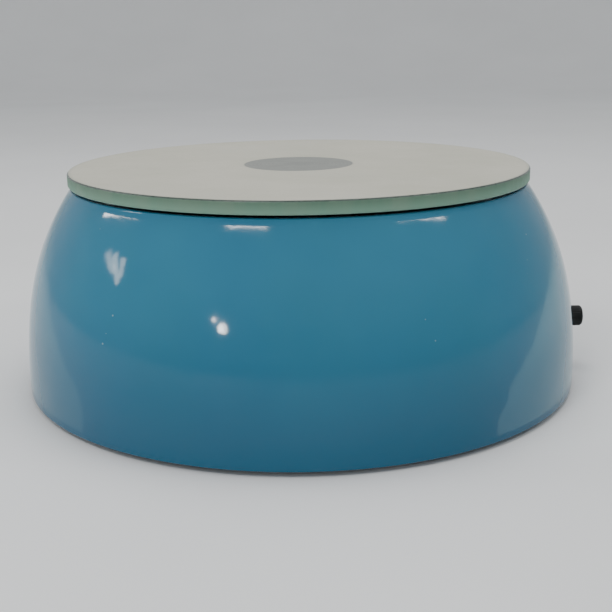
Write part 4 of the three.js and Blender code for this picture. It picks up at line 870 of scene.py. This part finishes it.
def rocker():
    """The mains rocker, tipped to off, with a plain bar and ring for on and off."""
    tall = ROCKER_HALF[1]
    front = [(ROCKER_FRONT, -tall, 0.7 * MM), (ROCKER_DIP, 0, 6 * MM), (ROCKER_FRONT, tall, 0.7 * MM)]
    back = [(1.5 * MM, tall - 0.4 * MM, 1 * MM), (-5 * MM, 3 * MM, 0.6 * MM),
            (-5 * MM, -3 * MM, 0.6 * MM), (1.5 * MM, 0.4 * MM - tall, 1 * MM)]
    outline = rounded(front + back, 0, 6, closed=True)
    body = prism("switch_rocker_moulding", outline, -ROCKER_HALF[0], ROCKER_HALF[0], "X",
                 [MATERIALS["black_plastic"]], 0.35 * MM, 3)
    trunnion = prism("trunnion", circle(TRUNNION_RADIUS, 20), -TRUNNION_HALF, TRUNNION_HALF, "X",
                     [MATERIALS["black_plastic"]])
    join_to(body, trunnion)
    slope = math.atan2(1.6 * MM, tall)
    bar_mark = prism("rocker_bar_mark", rectangle(0.35 * MM, 1.9 * MM, 0.3 * MM), -MARK_HALF_DEPTH,
                     MARK_HALF_DEPTH, "Y", [MATERIALS["white_mark"]])
    band = rectangle(0.3 * MM, MARK_HALF_DEPTH, 0, (1.6 * MM, 0))
    ring_mark = turned("rocker_ring_mark", band, [MATERIALS["white_mark"]], steps=40, closed=True)
    ring_mark.data.transform(Matrix.Rotation(math.radians(90), 4, "X"))
    height = ROCKER_DIP + MARK_FROM_MIDDLE * math.tan(slope)
    bar_place = Matrix.Translation((0, height, MARK_FROM_MIDDLE))
    ring_place = Matrix.Translation((0, height, -MARK_FROM_MIDDLE))
    bar_mark.data.transform(bar_place @ Matrix.Rotation(slope, 4, "X").inverted())
    ring_mark.data.transform(ring_place @ Matrix.Rotation(slope, 4, "X"))
    place = Matrix.Translation((ROCKER_X, ROCKER_PIVOT, INLET_Z)) @ Matrix.Rotation(-ROCKER_TILT, 4, "X")
    for obj, slot in ((body, "black_plastic"), (bar_mark, "black_plastic"), (ring_mark, "black_plastic")):
        obj.data.transform(place)
        smooth(obj, 35)
        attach(obj, "rocker")
    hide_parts("switch_rocker")


# ---------------------------------------------------------------- carried-over CAD nodes

def finish_cad_nodes():
    """Every CAD node that stays gets its slot's procedural material and smooth facets."""
    slots = {row["node"]: row["material_slot"] for row in frame["record"]["subparts"]}
    for name, obj in frame["nodes"].items():
        if obj.hide_render:
            continue
        obj.data.materials.clear()
        obj.data.materials.append(MATERIALS[slots[name]])
        smooth(obj, 34)


# ---------------------------------------------------------------- studio

# The camera behind the photograph. Its place is in shares of the wheelhead's radius.
LENS = 59.7
SENSOR = 36
SHIFT = 0.009
EYE_BACK = 4.487
EYE_UP = 0.574  # above the disc's face
EYE = Vector((0, -EYE_BACK * DISC_RADIUS, DISC_HIGH.z + EYE_UP * DISC_RADIUS))
PITCH = math.radians(15.28)
ROLL = math.radians(-0.824)

FLOOR_FLAT = 3  # metres from the middle to where the floor starts to sweep up
SWEEP_RADIUS = 1.5

LAMP_DISTANCE = 1.6
FINE_WALL = wall_line(0, 400)

# Each lamp and window pane by its highlight on the housing's wall. Both ends of the highlight are given as
# (bearing from the front in degrees, height in millimetres), then the lamp's width in metres and its watts.
LAMPS = {
    "strip_lamp": ((-14.7, 126.5), (-6.3, 126.65), 0.085, 5.5),
    "strip_lamp_left": ((-46.95, 124.95), (-35.75, 126.55), 0.035, 2.2),
    "strip_lamp_right": ((20.35, 126.55), (31.5, 125.1), 0.035, 2.2),
    "window_pane_1": ((-41.2, 106.55), (-38.15, 97.2), 0.07, 0.5),
    "window_pane_2": ((-38.95, 106.25), (-36.15, 91.5), 0.07, 0.9),
    "window_pane_3": ((-36.3, 105.05), (-35.8, 95.3), 0.07, 0.5),
    "lamp_1": ((-13.6, 77.1), (-13.25, 72.65), 0.075, 2.4),
    "lamp_2": ((-15.1, 80.2), (-14.9, 78), 0.04, 0.7),
}

# The sheen on the floor beside each flank: its side, the height of its far lip, its power, and its front
# border as (radius, angle from +Y in degrees) points.
GLOW = {
    "right": (1, 0.045, 0.9, (
        (0.19, 143), (0.235, 128), (0.277, 120.5), (0.326, 110), (0.4415, 94.8), (0.66, 84), (1.034, 72.5),
        (1.6, 66), (2.17, 62.3), (2.9, 58))),
    "left": (-1, 0.15, 0.38, (
        (0.19, 136), (0.224, 123.5), (0.269, 114), (0.302, 104), (0.379, 91.7), (0.576, 76.5), (0.80, 68),
        (1.085, 62.6), (2.2, 55), (2.9, 50.8))),
}
GLOW_BY_RADIUS = ((0.2, 1.1), (0.3, 1.1), (0.45, 1.0), (1.0, 0.7), (2.2, 0.5), (2.9, 0.35))
GLOW_BY_ANGLE = ((0, 1), (12, 0.55), (25, 0.25), (45, 0.06), (60, 0))
GLOW_TINT = (0.68, 1, 0.92, 1)
GLOW_NEAR = 0.187
GLOW_FAR = 2.9
GLOW_RINGS = 24
GLOW_SPOKES = 16
GLOW_LIFT = 0.0015  # above the floor


def floor():
    """A plain pale floor, which sweeps up all round far from the object."""
    m = Nodes("studio_floor", IOR=1.4)
    m.colour(m.mix(m.span(m.noise(3, 3, 0.5), 0.3, 0.7), (0.84, 0.835, 0.83), (0.88, 0.875, 0.87)))
    m.roughness(m.span(m.noise(8, 3, 0.5), 0.3, 0.7, 0.6, 0.7))
    z = cad_box[0].z
    rise = arc((FLOOR_FLAT, z + SWEEP_RADIUS), SWEEP_RADIUS, -80, 0, 12)
    sweep = [(0, z), (1, z), (2, z), (FLOOR_FLAT, z)] + rise + [(FLOOR_FLAT + SWEEP_RADIUS, z + 2.2)]
    backdrop = turned("studio_floor", sweep, [m.material], steps=96)
    smooth(backdrop, 60)


def panel(name, place, target, size, watts):
    """A soft rectangular light, aimed at a point."""
    data = bpy.data.lights.new(name, "AREA")
    data.shape = "RECTANGLE"
    data.size, data.size_y = size
    data.energy = watts
    obj = bpy.data.objects.new(name, data)
    bpy.context.scene.collection.objects.link(obj)
    obj.location = place
    obj.rotation_euler = (Vector(target) - Vector(place)).to_track_quat("-Z", "Y").to_euler()
    return obj


def wall_spot(bearing, height):
    """A point on the housing's wall, and the direction that the wall faces there."""
    step = 0.1 * MM
    slope = (wall_radius(height + step, FINE_WALL) - wall_radius(height - step, FINE_WALL)) / (2 * step)
    angle = math.radians(bearing)
    outward = Vector((math.sin(angle), -math.cos(angle), 0))
    spot = outward * wall_radius(height, FINE_WALL) + Vector((0, 0, height))
    return spot, (outward - Vector((0, 0, slope))).normalized()


def mirrored(bearing, height):
    """A spot on the wall, and the direction that the camera sees mirrored there."""
    spot, facing = wall_spot(bearing, height)
    view = (spot - EYE).normalized()
    return spot, view - 2 * view.dot(facing) * facing


def strip(name, start, end, width, watts):
    """A long lamp whose highlight on the wall runs from one (bearing, height in millimetres) to another."""
    ends = [mirrored(bearing, height * MM) for bearing, height in (start, end)]
    first, last = (spot + away * LAMP_DISTANCE for spot, away in ends)
    aim = wall_spot((start[0] + end[0]) / 2, (start[1] + end[1]) / 2 * MM)[0]
    middle = (first + last) / 2
    lamp = panel(name, middle, aim, ((last - first).length, width), watts)
    away = (middle - aim).normalized()
    across = away.cross(last - first).normalized()
    lamp.rotation_euler = Matrix((across.cross(away), across, away)).transposed().to_euler()


def lights():
    """A pale room: an even surround, one soft light from above, and the lamps that the highlights show."""
    world = bpy.data.worlds.new("studio")
    bpy.context.scene.world = world
    world.use_nodes = True
    world.node_tree.nodes["Background"].inputs["Color"].default_value = (0.86, 0.90, 0.93, 1)
    world.node_tree.nodes["Background"].inputs["Strength"].default_value = 0.62
    panel("overhead", (0.2, 0.3, 2.0), (0, 0, 0.07), (1.6, 1.0), 17)
    for name, facts in LAMPS.items():
        strip(name, *facts)


def between(x, table):
    """The value at x on a line through the table's points."""
    if x <= table[0][0]:
        return table[0][1]
    for (x0, y0), (x1, y1) in zip(table, table[1:]):
        if x <= x1:
            return y0 + (y1 - y0) * (x - x0) / (x1 - x0)
    return table[-1][1]


def glow_material(name):
    """A clear film that gives off the light in its mesh's glow attribute."""
    material = bpy.data.materials.new(name)
    material.use_nodes = True
    tree = material.node_tree
    tree.nodes.clear()
    value = tree.nodes.new("ShaderNodeAttribute")
    value.attribute_name = "glow"
    emission = tree.nodes.new("ShaderNodeEmission")
    emission.inputs["Color"].default_value = GLOW_TINT
    clear = tree.nodes.new("ShaderNodeBsdfTransparent")
    both = tree.nodes.new("ShaderNodeAddShader")
    output = tree.nodes.new("ShaderNodeOutputMaterial")
    tree.links.new(value.outputs["Fac"], emission.inputs["Strength"])
    tree.links.new(emission.outputs[0], both.inputs[0])
    tree.links.new(clear.outputs[0], both.inputs[1])
    tree.links.new(both.outputs[0], output.inputs["Surface"])
    return material


def floor_glow(name, side, lip, power, border):
    """A pale sheen on the floor beside the wheel, seen only in reflections, with a sharp front edge."""
    radii = [GLOW_NEAR * (GLOW_FAR / GLOW_NEAR) ** (i / GLOW_RINGS) for i in range(GLOW_RINGS + 1)]
    widest = GLOW_BY_ANGLE[-1][0]
    backs = [widest * (i / GLOW_SPOKES) ** 1.5 for i in range(GLOW_SPOKES + 1)]
    rings = [(radius, GLOW_LIFT) for radius in radii] + [(GLOW_FAR + 0.001, lip)]
    verts, glow, faces = [], [], []
    for radius, height in rings:
        front = between(radius, border)
        for back in backs:
            angle = math.radians(front - back)
            verts.append((side * radius * math.sin(angle), radius * math.cos(angle), height))
            glow.append(power * between(radius, GLOW_BY_RADIUS) * between(back, GLOW_BY_ANGLE))
    across = len(backs)
    for i in range(len(rings) - 1):
        for j in range(across - 1):
            k = i * across + j
            faces.append((k, k + 1, k + across + 1, k + across))
    obj = new_object(name, verts, faces, [glow_material(name)])
    obj.data.attributes.new("glow", "FLOAT", "POINT").data.foreach_set("value", glow)
    obj.visible_camera = False
    obj.visible_diffuse = False
    obj.visible_shadow = False
    obj.visible_transmission = False


def camera():
    """The photograph's viewing angle."""
    data = bpy.data.cameras.new("camera")
    data.lens = LENS
    data.sensor_width = SENSOR
    data.shift_x = SHIFT
    obj = bpy.data.objects.new("camera", data)
    bpy.context.scene.collection.objects.link(obj)
    look = Matrix.Rotation(math.pi / 2 - PITCH, 4, "X") @ Matrix.Rotation(ROLL, 4, "Z")
    obj.matrix_world = Matrix.Translation(EYE) @ look
    bpy.context.scene.camera = obj


# ---------------------------------------------------------------- the whole object

camera()
lights()
floor()
for flank, facts in GLOW.items():
    floor_glow(f"floor_glow_{flank}", *facts)
wheelhead()
housing()
base_plate()
for number in range(1, 5):
    foot(number)
    screw(f"base_socket_screw_{number}", f"spindle_housing_screw_{number}")
    screw(f"housing_socket_screw_{number}", f"housing_screw_{number}")
screw("bracket_socket_screw_1", "bracket_screw_1")
screw("bracket_socket_screw_2", "bracket_screw_2")
speed_knob()
inlet()
rocker()
finish_cad_nodes()
